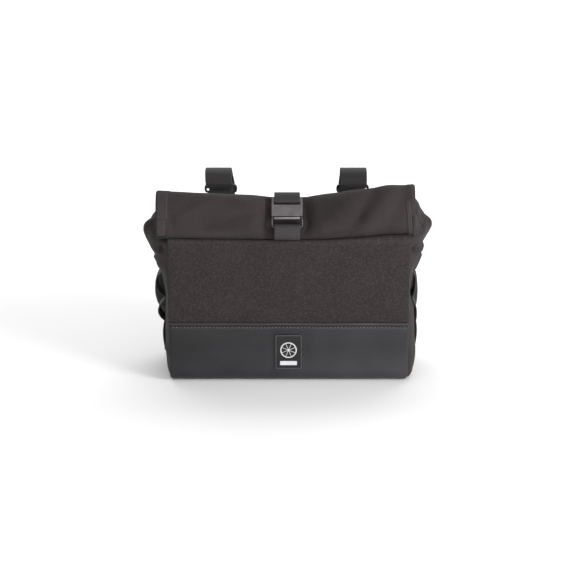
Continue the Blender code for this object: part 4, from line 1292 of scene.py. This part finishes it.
def shell_rings():
    """The shell's rings refined from its stations.

    With them come each row's distance along, the distance where the roll starts, and the
    count of columns across the front.
    """
    coarse = np.array([[tuple(point) for point in outline(station, 0)]
                       for station in body_stations()])
    front = len(ACROSS)
    gusset = len(GUSSET_STATIONS)
    middle = (front - 1) // 2
    back = front + gusset + middle
    steps = np.linalg.norm(np.diff(coarse[:, [middle, back]], axis=0), axis=2).mean(axis=1)
    row_knots = np.concatenate([[0], np.cumsum(steps)])
    rows = even_marks(row_knots, SHELL_PITCH)
    fine = refine(*eased(coarse, row_knots), rows)
    hem = 1 - HEM_WIDTH / HALF_ROLL
    shares = set(np.round(np.linspace(-1, 1, PANEL_STEPS + 1), 5))
    for edge in (hem - 0.006, hem + 0.006, hem + 0.012):
        shares |= {round(edge, 5), round(-edge, 5)}
    shares = np.array(sorted(shares))
    sides = np.linspace(0, 1, GUSSET_STEPS + 2)[1:-1]
    parts = []
    low = 0
    for number, width in enumerate((front, gusset, front, gusset)):
        high = low + width
        if width == front:
            strips, knots, marks = fine[:, low:high], np.array(ACROSS), shares
        else:
            after = fine[:, high % fine.shape[1]][:, None]
            strips = np.concatenate([fine[:, low - 1:high], after], axis=1)
            knots, marks = np.array([0, *GUSSET_STATIONS, 1]), sides
            if number == 3:
                knots = (1 - knots)[::-1]
        parts.append(refine(strips.transpose(1, 0, 2), knots, marks).transpose(1, 0, 2))
        low = high
    return np.concatenate(parts, axis=1), rows, row_knots[-1 - ROLL_STEPS], len(shares)


def even_marks(knots, pitch):
    """Marks between the first and the last knot, about a pitch apart."""
    count = int(round((knots[-1] - knots[0]) / pitch))
    return np.linspace(knots[0], knots[-1], count + 1)


def grid_normals(rings):
    """The outward direction at each point of a closed grid of rings."""
    along = np.gradient(rings, axis=0)
    around = np.roll(rings, -1, axis=1) - np.roll(rings, 1, axis=1)
    normals = np.cross(around, along)
    size = np.linalg.norm(normals, axis=2)[..., None]
    return normals / np.maximum(size, 1e-12)


def shell_cloth():
    """The hollow body and its rolled top, with folds, hems and wrinkles."""
    rings, rows, first_roll, count = shell_rings()
    flat = rings.reshape(-1, 3)
    rings = np.array([tuple(settle(Vector(point))) for point in flat]).reshape(rings.shape)
    for row, mark in enumerate(rows):
        near = smooth(mark, first_roll - NECK_RUN, first_roll)
        for column in range(rings.shape[1]):
            x = rings[row, column, 0]
            rings[row, column, 0] -= near * ROLL_DRAW * smooth(x, DRAW_FROM, HALF_ROLL)
            rings[row, column, 0] -= near * ROLL_SPREAD * smooth(-x, DRAW_FROM, HALF_ROLL)
    normals = grid_normals(rings)
    for row, mark in enumerate(rows):
        for column in range(rings.shape[1]):
            point = Vector(rings[row, column])
            kind = column_kind(column, count)
            lift = shell_lift(point, kind, mark >= first_roll)
            rings[row, column] += normals[row, column] * lift
            if kind in FOOT_FULLNESS:
                foot = 1 - smooth(point.z, BASE_HEIGHT, BASE_HEIGHT + BASE_RADIUS)
                rings[row, column, 0] += math.copysign(FOOT_FULLNESS[kind] * foot, point.x)
    reference = rings[len(rows) // 4]
    around = lengths_along(np.concatenate([reference, reference[:1]]))
    return grid_mesh("shell_cloth", rings, around, rows, (count, GUSSET_STEPS))


def column_kind(column, count):
    """Which side of the bag a column of the shell runs up."""
    if column < count:
        return "front"
    if column < count + GUSSET_STEPS:
        return "right"
    if column < 2 * count + GUSSET_STEPS:
        return "back"
    return "left"


def shell_lift(point, kind, on_top):
    """How far the shell's cloth stands proud of its plain form at a point."""
    if on_top:
        return roll_lift(point) if kind == "back" else 0
    if point.z > CREASE_HEIGHT - SHOULDER_RUN:
        return shoulder_lift(point)
    if kind == "front":
        return 0
    if kind == "back":
        return back_lift(point)
    return gusset_lift(point, kind)


def roll_lift(point):
    """The folds, ripples and hems of the roll's face."""
    y = point.y - ROLL_CENTRE[0]
    z = point.z - ROLL_CENTRE[1]
    up = UP_ROLL[0] * y + UP_ROLL[1] * z
    out = OUT_OF_ROLL[0] * y + OUT_OF_ROLL[1] * z
    settled = settle(Vector((point.x, 0, ROLL_CENTRE[1]))).z - ROLL_CENTRE[1]
    lift = fold_height(point.x, up - settled)
    lift += wave("ripple", (point.x, up, 0)) + wave("fine_ripple", (point.x, up, 0))
    lift *= smooth(out, 0, ROLL_THICKNESS / 2)
    if lift > 0:
        lift *= clear_of(point.x, STRAP_X, STRAP_WIDTH, 2 * MM)
    hem = smooth(abs(point.x), HALF_ROLL - HEM_WIDTH - 0.5 * MM, HALF_ROLL - HEM_WIDTH)
    return lift + hem * HEM_RISE * smooth(out, -2 * MM, 2 * MM)


def shoulder_lift(point):
    """How the cloth drapes over the shoulders, but for where straps hold it down."""
    keep = 1 - clear_of(point.x, STRAP_X, STRAP_WIDTH)
    for x in BAR_STRAP_X.values():
        keep += 1 - clear_of(point.x, x, BAR_STRAP_WIDTH)
    free = clamp(1 - keep, 0, 1) * smooth(point.z, CREASE_HEIGHT - SHOULDER_RUN, CREASE_HEIGHT)
    return (wave("drape", point) + wave("fine_drape", point)) * free


def back_lift(point):
    """How the back swells above the band and beside the bar straps."""
    clear = smooth(point.z, BAND_BACK_HEIGHT + 1 * MM, BAND_BACK_HEIGHT + 14 * MM)
    for x in BAR_STRAP_X.values():
        clear *= clear_of(point.x, x, BAR_STRAP_WIDTH, 1 * MM)
    return wave("back", point) * clear


def gusset_lift(point, kind):
    """The pleats, swells and folds of a gusset, held flat where its webbing lies."""
    height = point.z / CREASE_HEIGHT
    lift = wave("pleat", point) * bell(height, *WAIST) + wave("gusset", point)
    lift *= smooth(point.z, 0, 14 * MM)
    free = 1 - window(point.y, WEBBING_ACROSS) * window(height, WEBBING_UP)
    lift = min(lift, lift * free)
    for row in GUSSET_FOLDS:
        fold = dict(zip(GUSSET_FOLD_COLUMNS, row))
        if fold["side"] == kind:
            deep = fold["deep"] * MM * bell(point.y / HALF_DEPTH, fold["y"], fold["long"])
            deep *= bell(height, fold["up"], fold["tall"])
            lift += min(deep, deep * free)
    return lift


def panel_shape(point):
    """Settles the panel and lets it swell a little where the band doesn't hold it."""
    free = window(point.z, (BAND_HEIGHT + 1 * MM, BAND_HEIGHT + 18 * MM,
                            CREASE_HEIGHT - 14 * MM, CREASE_HEIGHT - 3 * MM))
    free *= 1 - smooth(abs(point.x), HALF_WIDTH - 14 * MM, HALF_WIDTH - 1 * MM)
    swell = PANEL_SWELL + wave("panel_swell", point) + wave("fine_panel_swell", point)
    edge = smooth(point.z, CREASE_HEIGHT - 12 * MM, CREASE_HEIGHT - 1 * MM)
    return settle(point) + Vector((0, -max(swell, 0) * free, wave("panel_edge", point) * edge))


def band_shape(point):
    """Lets the band lie a little unevenly on the front."""
    front = 1 - smooth(point.y, -HALF_DEPTH, -HALF_DEPTH + 4 * MM)
    lift = (BAND_SWELL + wave("band_swell", point)) * smooth(point.z, 12 * MM, BAND_HEIGHT)
    lift += BAND_BELLY * math.sin(math.pi * clamp(point.z / BAND_HEIGHT, 0, 1))
    lift *= front * clear_of(point.x, LABEL_X, LABEL_WIDTH)
    if point.y < BAND_FACE + BAND_SHEET / 2:
        lift += BAND_HEM * smooth(point.z, BAND_HEIGHT - 3 * MM, BAND_HEIGHT - 2.2 * MM)
        lift -= BAND_SEAM * bell(point.z, BAND_HEIGHT - 3.6 * MM, 0.9 * MM)
    low = 1 - smooth(point.z, 0, 9 * MM)
    drawn = BAND_DRAWN * low ** 2 * smooth(abs(point.x), HALF_WIDTH - 12 * MM, HALF_WIDTH)
    edge = wave("band_edge", point) * smooth(point.z, 40 * MM, BAND_HEIGHT) * front
    return point + Vector((-math.copysign(drawn, point.x), -lift, edge))


def label_mesh():
    """The moulded patch with its raised border, in smooth steps."""
    back = BAND_FACE - GAP
    field = LABEL_FIELD
    rim = field - LABEL_RELIEF
    soft = 0.25 * MM
    inner = LABEL_BORDER - soft
    layers = (
        (back, 0),
        (rim + soft, 0),
        (rim + 0.3 * soft, 0.3 * soft),
        (rim, soft),
        (rim, inner),
        (rim + 0.3 * soft, inner + 0.7 * soft),
        (field, inner + soft),
        (field, inner + 1.6 * MM),
    )
    points = []
    for y, inset in layers:
        corner = max(LABEL_CORNER - inset, 0.3 * MM)
        for across, up in rounded_oblong(LABEL_WIDTH - 2 * inset, LABEL_HEIGHT - 2 * inset,
                                         corner, 6):
            points.append((LABEL_X + across, y, LABEL_MIDDLE + up))
    around = len(points) // len(layers)
    faces = [tuple(range(around)), tuple(range(len(points) - around, len(points)))]
    for start in range(0, len(points) - around, around):
        faces += ring_faces(start, start + around, around)
    return closed_mesh("label_cloth", points, faces)


def closed_mesh(name, points, faces, angle=40):
    """A closed mesh with its faces out, smooth but for edges past the angle in degrees."""
    mesh = facing_out(mesh_of(name, points, faces))
    mesh.set_sharp_from_angle(angle=math.radians(angle))
    return mesh


# The printed mark: a wheel's rings, hub and spokes, and the width, height and corner of the
# bar below it
PRINT_RISE = 0.18 * MM
WHEEL_UP = 2 * MM
WHEEL_OUTER = 8.4 * MM
WHEEL_INNER = 7.3 * MM
HUB_RADIUS = 1.3 * MM
SPOKES = 8
SPOKE_HALF = 0.22 * MM
SPOKE_REACH = (1.25 * MM, 7.4 * MM)
MARK_DROP = 12 * MM
MARK_SIZE = (17.2 * MM, 4.4 * MM, 0.6 * MM)


def circle(radius, steps, up):
    """Points on a circle that lies a height above the label's middle."""
    turns = [2 * math.pi * step / steps for step in range(steps)]
    return [(radius * math.cos(turn), up + radius * math.sin(turn)) for turn in turns]


def print_mesh():
    """The pale mark on the patch: a plain spoked wheel over a plain bar."""
    points = []
    faces = []

    def plate(ring, hole=()):
        count = len(ring)
        a = len(points)
        b, c, d = a + count, a + 2 * count, a + 3 * count
        for line in (ring, hole):
            for y in (LABEL_FIELD, LABEL_FIELD - PRINT_RISE):
                points.extend((LABEL_X + x, y, LABEL_MIDDLE + z) for x, z in line)
        if hole:
            for pair in ((a, b), (d, c), (b, d), (c, a)):
                faces.extend(ring_faces(*pair, count))
        else:
            faces.extend(ring_faces(a, b, count))
            faces.append(tuple(range(a, b)))
            faces.append(tuple(range(c - 1, b - 1, -1)))

    plate(circle(WHEEL_OUTER, 48, WHEEL_UP), circle(WHEEL_INNER, 48, WHEEL_UP))
    plate(circle(HUB_RADIUS, 20, WHEEL_UP))
    for spoke in range(SPOKES):
        angle = 2 * math.pi * (spoke + 0.5) / SPOKES
        way = (math.cos(angle), math.sin(angle))
        side = (-way[1] * SPOKE_HALF, way[0] * SPOKE_HALF)
        start, end = SPOKE_REACH
        plate([(way[0] * reach + sign * side[0], WHEEL_UP + way[1] * reach + sign * side[1])
               for reach, sign in ((start, -1), (end, -1), (end, 1), (start, 1))])
    plate([(x, z - MARK_DROP) for x, z in rounded_oblong(*MARK_SIZE, 4)])
    return closed_mesh("label_print", points, faces)


def bevelled_copy(node, name, width):
    """A copy of a solid's mesh with its sharp edges rounded."""
    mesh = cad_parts[node].data.copy()
    mesh.name = name
    mesh.materials.clear()
    work = bmesh.new()
    work.from_mesh(mesh)
    bmesh.ops.remove_doubles(work, verts=work.verts, dist=0.001 * MM)
    bmesh.ops.dissolve_limit(work, angle_limit=math.radians(1), verts=work.verts,
                             edges=work.edges)
    sharp = [edge for edge in work.edges
             if len(edge.link_faces) == 2 and edge.calc_face_angle() > math.radians(35)]
    bmesh.ops.bevel(work, geom=sharp, offset=width, segments=3, profile=0.5,
                    affect="EDGES", clamp_overlap=True)
    work.to_mesh(mesh)
    work.free()
    mesh.shade_smooth()
    mesh.set_sharp_from_angle(angle=math.radians(50))
    return mesh


def fine_loop(name, width, upper, lower, wire, x):
    """A wire loop's mesh on the same line as its solid, with finer corners."""
    path, normal = loop_path(width, upper, lower, wire)
    path = [point + Vector((x, 0, 0)) for point in path]
    ring = np.array([tuple(point) for point in path + path[:1]])
    knots = lengths_along(ring)
    keep = np.concatenate([[True], np.diff(knots) > 1e-7])
    marks = even_marks(knots, LOOP_PITCH)[:-1]
    fine = refine(ring[keep], knots[keep], marks)
    return wire_mesh(name, [Vector(point) for point in fine], normal, wire / 2)


def seam_on_strip(path, sheet, places, upright=False, shape=None):
    """Points and outward ways along a seam on a strip, through (distance, place) marks."""
    run = []
    for (start, from_place), (end, to_place) in zip(places, places[1:]):
        for step in range(SEAM_STEPS + 1):
            share = step / SEAM_STEPS
            run.append(on_strip(path, sheet, start + (end - start) * share,
                                from_place + (to_place - from_place) * share, upright, shape))
    return run


def box_stitch(path, sheet, start, end, low, high):
    """A sewn box with a cross in it, on a strip."""
    corners = [(start, low), (end, low), (end, high), (start, high)]
    pairs = ((0, 1), (1, 2), (2, 3), (3, 0), (0, 2), (3, 1))
    return [seam_on_strip(path, sheet, [corners[a], corners[b]]) for a, b in pairs]


def tack(path, sheet, distance, low, high, upright=False, shape=None):
    """A bar tack: short stitches packed side by side across a strip."""
    places = [distance + row * TACK_PITCH for row in (-1, 0, 1)]
    return [seam_on_strip(path, sheet, [(here, low), (here, high)], upright, shape)
            for here in places]


def from_front(tree, x, z):
    """Where a line along Y through x and z first meets the cloth, and the way out there."""
    hit, way = tree.ray_cast(Vector((x, -1, z)), Vector((0, 1, 0)))[:2]
    if hit is None:
        return None
    return hit, (way if way.y < 0 else -way)


def drawn_taut(line):
    """A row of a patch pulled taut over what it lies on, with one way out for all of it."""
    depths = [point.y for point, _ in line]
    for _ in range(TAUT_TURNS):
        for index in range(1, len(depths) - 1):
            middle = (depths[index - 1] + depths[index + 1]) / 2
            depths[index] = min(depths[index], middle)
    way = Vector(TAUT_WAY).normalized()
    return [(Vector((point.x, depth, point.z)), way) for (point, _), depth in zip(line, depths)]


def patch_mesh(name, tree, corners, sheet, taut=False):
    """A thin patch that lies on the cloth between four corners given as (x, z)."""
    across, along = PATCH_STEPS
    tops = []
    for row in range(along + 1):
        left = mix(corners[0], corners[3], row / along)
        right = mix(corners[1], corners[2], row / along)
        line = []
        for column in range(across + 1):
            x, z = mix(left, right, column / across)
            line.append(from_front(tree, x, z) or line[-1])
        tops.append(drawn_taut(line) if taut else line)
    if taut:
        for column in range(across + 1):
            pulled = drawn_taut([line[column] for line in tops])
            for line, place in zip(tops, pulled):
                line[column] = place
    points = []
    for layer in (0, 1):
        for row, line in enumerate(tops):
            for column, (point, way) in enumerate(line):
                edge = row in (0, along) or column in (0, across)
                rise = sheet * (PATCH_EDGE if edge else 1) if layer else -PATCH_SINK
                points.append(point + way * rise)
    wide = across + 1
    size = (along + 1) * wide
    faces = []
    for row in range(along):
        for column in range(across):
            a = row * wide + column
            quad = (a, a + 1, a + wide + 1, a + wide)
            faces.append(quad)
            faces.append(tuple(size + corner for corner in reversed(quad)))
    rim = list(range(wide))
    rim += [row * wide + across for row in range(1, along + 1)]
    rim += [along * wide + column for column in range(across - 1, -1, -1)]
    rim += [row * wide for row in range(along - 1, 0, -1)]
    for here, turn in zip(rim, rim[1:] + rim[:1]):
        faces.append((here, turn, size + turn, size + here))
    mesh = closed_mesh(name, points, faces, 50)
    layer = mesh.uv_layers.new(name="cloth")
    for loop in mesh.loops:
        place = mesh.vertices[loop.vertex_index].co
        layer.data[loop.index].uv = (place.x, place.z)
    return mesh


def seam_from_front(tree, marks):
    """Points and outward ways along a line of (x, z) marks on the cloth."""
    run = []
    for start, end in zip(marks, marks[1:]):
        for step in range(FRONT_SEAM_STEPS + 1):
            found = from_front(tree, *mix(start, end, step / FRONT_SEAM_STEPS))
            if found:
                run.append(found)
    return run


# Hems and patches on the cloth as seen from the front: the corners as shares of half the
# roll's width and of its length up from the crease, from the lower left one round. The seams
# run between two such places.
HEMS = {
    "hem_left_upper": ((-1.014, 0.48), (-0.930, 0.48), (-0.930, 1.01), (-1.014, 1.01)),
    "hem_left_lower": ((-1.014, 0.10), (-0.952, 0.10), (-0.945, 0.475), (-1.014, 0.475)),
    "hem_right": ((0.925, 0.08), (0.958, 0.08), (0.932, 0.90), (0.900, 0.90)),
    "ear_patch_right": ((0.962, 0.07), (1.050, 0.07), (0.976, 0.56), (0.946, 0.56)),
}
HEM_SHEET = 0.5 * MM
HEM_SEAMS = (
    ((-0.939, 0.50), (-0.939, 1.00)),
    ((-1.004, 0.50), (-1.004, 1.00)),
    ((-0.960, 0.12), (-0.954, 0.46)),
    ((0.930, 0.12), (0.906, 0.88)),
    ((0.952, 0.12), (0.928, 0.88)),
)


def on_front(mark):
    """An (x, z) place from shares of half the roll's width and of its length up."""
    return (mark[0] * HALF_ROLL, CREASE_HEIGHT + mark[1] * ROLL_LENGTH)


def build_hems(shell):
    """The hems at the roll's two ends and the patch on the right ear, with their stitches."""
    # Painted light and shade: the hems' weave is a paler copy of the shell's, where they catch
    # the light, and the ear patch's a darker copy, in shade.
    fabric = woven("hem_weave_painted_light", (0.017, 0.0138, 0.0145), (0.043, 0.0358, 0.0372),
                   0.7 * MM, flecks=0.1, sheen=0.05)
    dim = woven("ear_weave_painted_shade", (0.0105, 0.0090, 0.0094), (0.0265, 0.0232, 0.0240),
                0.7 * MM, flecks=0.1, sheen=0.03)
    tree = BVHTree.FromPolygons([point.co for point in shell.data.vertices],
                                [face.vertices for face in shell.data.polygons])
    for name, corners in HEMS.items():
        taut = name == "ear_patch_right"
        mesh = patch_mesh(name, tree, [on_front(corner) for corner in corners], HEM_SHEET, taut)
        piece(name, mesh, dim if taut else fabric, finish="bag_shell")
    thread = moulded("hem_thread", (0.032, 0.030, 0.030), (0.080, 0.076, 0.075), 0.6, 0.2 * MM)
    runs = []
    for marks in HEM_SEAMS:
        run = seam_from_front(tree, [on_front(mark) for mark in marks])
        runs.append([(point + way * HEM_SHEET, way) for point, way in run])
    stitches("hem_stitches", runs, thread, "bag_shell", long=1.8 * MM, gap=0.8 * MM,
             thick=0.4 * MM)


def build_soft():
    """The shell, panel, band and label."""
    shell_fabric = woven("shell_weave", (0.0140, 0.0106, 0.0109), (0.0345, 0.0266, 0.0274),
                         0.75 * MM, flecks=0.12, sheen=0.03, shaded=PAINTED_SHADE_AND_LIGHT)
    # Painted highlight: the panel's colour is paler along its folded top edge, where it catches
    # the light.
    fold = (0, -HALF_DEPTH / MM, CREASE_HEIGHT / MM, 400, 30, 4, 1.25)
    panel_fabric = woven("panel_weave", (0.0105, 0.0077, 0.0078), (0.0250, 0.0190, 0.0189),
                         1.05 * MM, flecks=0.36, sheen=0.03, relief=0.22 * MM, shaded=(fold,))
    shell = piece("shell_cloth", shell_cloth(), shell_fabric, "bag_shell")
    build_hems(shell)
    path = panel_path()
    mesh = strip("panel_cloth", path, PANEL_SHEET, -HALF_WIDTH, HALF_WIDTH, *FINENESS["panel"],
                 shape=panel_shape)
    panel = piece("panel_cloth", mesh, panel_fabric, "front_panel")
    path = band_path()
    mesh = strip("band_cloth", path, BAND_SHEET, -HALF_WIDTH, HALF_WIDTH, *FINENESS["band"],
                 shape=band_shape)
    band = piece("band_cloth", mesh, coated("band_coating"), "base_band")
    # The label's rubber, with a painted highlight on its raised rim.
    rubber = moulded("label_rubber", (0.0040, 0.0039, 0.0042), (0.0095, 0.0092, 0.0100), 0.42,
                     painted_light=LABEL_FIELD)
    piece("label_moulding", label_mesh(), rubber, "label_patch")
    ink = moulded("label_ink", (0.42, 0.42, 0.43), (0.55, 0.55, 0.56), 0.6)
    piece("label_print", print_mesh(), ink, finish="label_patch")


def edges_of(x, width, margin=0):
    """The two edges of a strap about x, drawn in by a margin."""
    return x - width / 2 + margin, x + width / 2 - margin


def lay_strip(name, node, material, path, sheet, edges, kind, **more):
    """Dresses a strap's solid in a fine strip."""
    mesh = strip(name, path, sheet, *edges, *FINENESS[kind], **more)
    piece(name, mesh, material, node)


def build_webbing():
    """The closure straps, the bar straps, the tabs and the side webbing."""
    # Painted shade on the upper webbing where it runs into the plate's slot.
    y, z = on_plate(SLOT_TOP - 2.5 * MM, HOOK_REACH + PLATE_SHEET)
    painted_slot_shade = (0, y / MM, z / MM, 120, 4, 1.7, 0.10)
    upper = ribbed("upper_weave", (0.0100, 0.0092, 0.0095), (0.0270, 0.0250, 0.0257), (painted_slot_shade,))
    lower = ribbed("lower_weave", (0.0120, 0.0106, 0.0110), (0.0325, 0.0290, 0.0300))
    dull = ribbed("side_webbing_weave", (0.010, 0.0097, 0.0097), (0.029, 0.0276, 0.0276))
    fuzz = pile("strap_pile")
    edges = edges_of(STRAP_X, STRAP_WIDTH)
    lay_strip("upper_webbing", "closure_strap_upper", upper, upper_strap_path(), STRAP_SHEET,
              edges, "closure")
    lay_strip("lower_webbing", "closure_strap_lower", lower, lower_strap_path(), STRAP_SHEET,
              edges, "closure")
    for side, x in BAR_STRAP_X.items():
        for node, material, path, sheet, edges, kind, more in (
                ("bar_strap_", fuzz, bar_strap_path(), BAR_STRAP_SHEET,
                 edges_of(x, BAR_STRAP_WIDTH), "bar_strap",
                 {"shape": skewed(STRAP_SKEWS[side]), "relief": pile_relief}),
                ("ring_tab_", dull, ring_tab_path(), TAB_SHEET, edges_of(x, TAB_WIDTH),
                 "narrow", {"shape": settle}),
                ("side_webbing_", dull, side_webbing_path(side), SIDE_STRAP_SHEET,
                 side_webbing_edges(), "narrow", {"shape": settle, "upright": True})):
            node += side
            lay_strip(node + "_cloth", node, material, path, sheet, edges, kind, **more)


def side_webbing_edges():
    """Where the side webbing's two edges lie along Y."""
    front = -HALF_DEPTH + FLAT_FROM * BODY_DEPTH + SIDE_STRAP_MARGIN
    back = -HALF_DEPTH + FLAT_TO * BODY_DEPTH - SIDE_STRAP_MARGIN
    return front, back


def skewed(shift):
    """A shape that carries a bar strap aside at the top of its loop."""
    def shape(point):
        high = smooth(point.z, BAR_CENTRE[1] - 6 * MM, BAR_CENTRE[1] + 12 * MM)
        return point + Vector((shift * high + wave("strap_edge", point), 0, 0))
    return shape


def pile_relief(place, distance):
    """The uneven height of the pile on a bar strap."""
    return wave("pile", (place, distance, 0))


def build_metal():
    """The hook plate, its frame and the two rings."""
    # Painted shade: the hook plate is darker along its bend above the lip.
    y, z = on_plate(-0.6 * MM, HOOK_REACH + PLATE_SHEET / 2)
    bend = (0, y / MM, z / MM, 120, 3, 1.0, 0.10)
    satin = satin_metal("hook_metal", (0.150, 0.138, 0.142), 0.42, (bend,))
    mesh = bevelled_copy("hook_plate", "hook_plate_metal", 0.28 * MM)
    piece("hook_plate_metal", mesh, satin, "hook_plate")
    width = PLATE_WIDTH + FRAME_WIRE / 2
    mesh = fine_loop("hook_frame_wire", width, *frame_bars(), FRAME_WIRE, STRAP_X)
    dim = satin_metal("frame_metal", (0.045, 0.042, 0.043), 0.42)
    piece("hook_frame_wire", mesh, dim, "hook_frame")
    black = moulded("ring_black", (0.010, 0.010, 0.0105), (0.026, 0.026, 0.027), 0.35)
    width = BAR_STRAP_WIDTH + 4 * GAP + 2 * RING_WIRE
    for side, x in BAR_STRAP_X.items():
        node = "bar_ring_" + side
        mesh = fine_loop(node + "_wire", width, *ring_bars(), RING_WIRE, x)
        piece(node + "_wire", mesh, black, node)


def build_stitching():
    """Seams and tacks that show."""
    pale = moulded("thread_pale", (0.080, 0.075, 0.075), (0.155, 0.150, 0.147), 0.6, 0.2 * MM)
    dark = moulded("thread_dark", (0.030, 0.029, 0.029), (0.070, 0.068, 0.066), 0.6, 0.2 * MM)
    path = flip(band_path())
    down = length_of(path) - 4.6 * MM
    seam = []
    for step in range(BAND_SEAM_STEPS + 1):
        x = (2 * step / BAND_SEAM_STEPS - 1) * (HALF_WIDTH - SEAM_MARGIN)
        point, way = on_strip(path, BAND_SHEET, down, x)
        seam.append((band_shape(point), way))
    stitches("band_stitches", [seam], pale, "base_band", long=1.9 * MM, gap=1.8 * MM,
             thick=0.6 * MM)
    ring = rounded_oblong(LABEL_WIDTH - LABEL_BORDER, LABEL_HEIGHT - LABEL_BORDER,
                          LABEL_CORNER, 4)
    run = [(Vector((LABEL_X + x, LABEL_FIELD - LABEL_RELIEF, LABEL_MIDDLE + z)),
            Vector((0, -1, 0))) for x, z in ring + ring[:1]]
    stitches("label_stitches", [run], dark, "label_patch", long=1.5 * MM, gap=0.8 * MM,
             thick=0.4 * MM)
    path = upper_strap_path()
    total = length_of(path)
    runs = box_stitch(path, STRAP_SHEET, total - 17 * MM, total - 2 * MM,
                      *edges_of(STRAP_X, STRAP_WIDTH, SEAM_MARGIN))
    stitches("strap_stitches", runs, dark, "closure_strap_upper")
    path = flip(bar_strap_path())
    total = length_of(path)
    runs = []
    for x in BAR_STRAP_X.values():
        runs += box_stitch(path, BAR_STRAP_SHEET, total - 24 * MM, total - SEAM_MARGIN,
                           *edges_of(x, BAR_STRAP_WIDTH, SEAM_MARGIN))
    stitches("bar_strap_stitches", runs, pale, "bar_strap_left")
    front, back = side_webbing_edges()
    runs = []
    for side in BAR_STRAP_X:
        path = side_webbing_path(side)
        if side == "right":
            path = flip(path)
        knots = lengths_along(path)
        for share in [share for row in LOOP_ROWS for share in row[:2]]:
            nearest = np.argmin([abs(z - share * CREASE_HEIGHT) for _, z in path])
            runs += tack(path, SIDE_STRAP_SHEET, knots[nearest], front + 2 * MM, back - 2 * MM,
                         True, settle)
    stitches("side_tacks", runs, dark, "side_webbing_left", long=1.2 * MM, gap=0.3 * MM,
             thick=0.4 * MM)


def flip(path):
    """The same path from its other end, so that its other face is its outer one."""
    return list(reversed(path))


def softbox(name, place, target, width, height, power):
    """A rectangular soft light that looks at a target."""
    lamp = bpy.data.lights.new(name, "AREA")
    lamp.shape = "RECTANGLE"
    lamp.size = width
    lamp.size_y = height
    lamp.energy = power
    item = add_object(name, lamp)
    item.location = place
    item.rotation_euler = (Vector(target) - Vector(place)).to_track_quat("-Z", "Y").to_euler()


CAMERA_PLACE = (1.3 * MM, -1587 * MM, 568.2 * MM)
CAMERA_FALL = math.radians(17)
CAMERA_LENS = 98.57
CAMERA_SENSOR = 36
FLOOR_SIZE = 14
WORLD_LIGHT = 0.6
MIDDLE = (0, 0, 0.1)
# Each light's name, place, target, width, height and power in watts
LIGHTS = (
    ("key", (1.6, -1.2, 0.8), MIDDLE, 0.8, 0.8, 36),
    ("fill", (-0.9, -1.8, 0.8), MIDDLE, 1.1, 1.1, 2),
    ("low", (0.3, -1.0, 0.12), (0, 0, 0.08), 1.0, 0.16, 6.5),
    ("floor", (0, 1.9, 1.9), (0, 1.9, 0), 3.0, 2.4, 60),
)


def build_studio():
    """The pale floor, the soft lights and the camera at the photograph's angle."""
    half = FLOOR_SIZE / 2
    corners = [(-half, -half, 0), (half, -half, 0), (half, half, 0), (-half, half, 0)]
    mesh = mesh_of("floor", corners, [(0, 1, 2, 3)])
    shade = Shade("floor_paint")
    shade.set(Base_Color=(0.86, 0.86, 0.86), Roughness=0.9, Specular_IOR_Level=0.1)
    mesh.materials.append(shade.material)
    add_object("floor", mesh)
    world = bpy.data.worlds.new("studio")
    world.use_nodes = True
    background = world.node_tree.nodes["Background"].inputs
    background["Color"].default_value = (1, 1, 1, 1)
    background["Strength"].default_value = WORLD_LIGHT
    bpy.context.scene.world = world
    for light in LIGHTS:
        softbox(*light)
    lens = bpy.data.cameras.new("camera")
    lens.lens = CAMERA_LENS
    lens.sensor_width = CAMERA_SENSOR
    lens.clip_start = 0.05
    camera = add_object("camera", lens)
    camera.location = CAMERA_PLACE
    camera.rotation_euler = (math.pi / 2 - CAMERA_FALL, 0, 0)
    bpy.context.scene.camera = camera
    bpy.context.scene.view_settings.view_transform = "Standard"


build_soft()
build_webbing()
build_metal()
build_stitching()
build_studio()
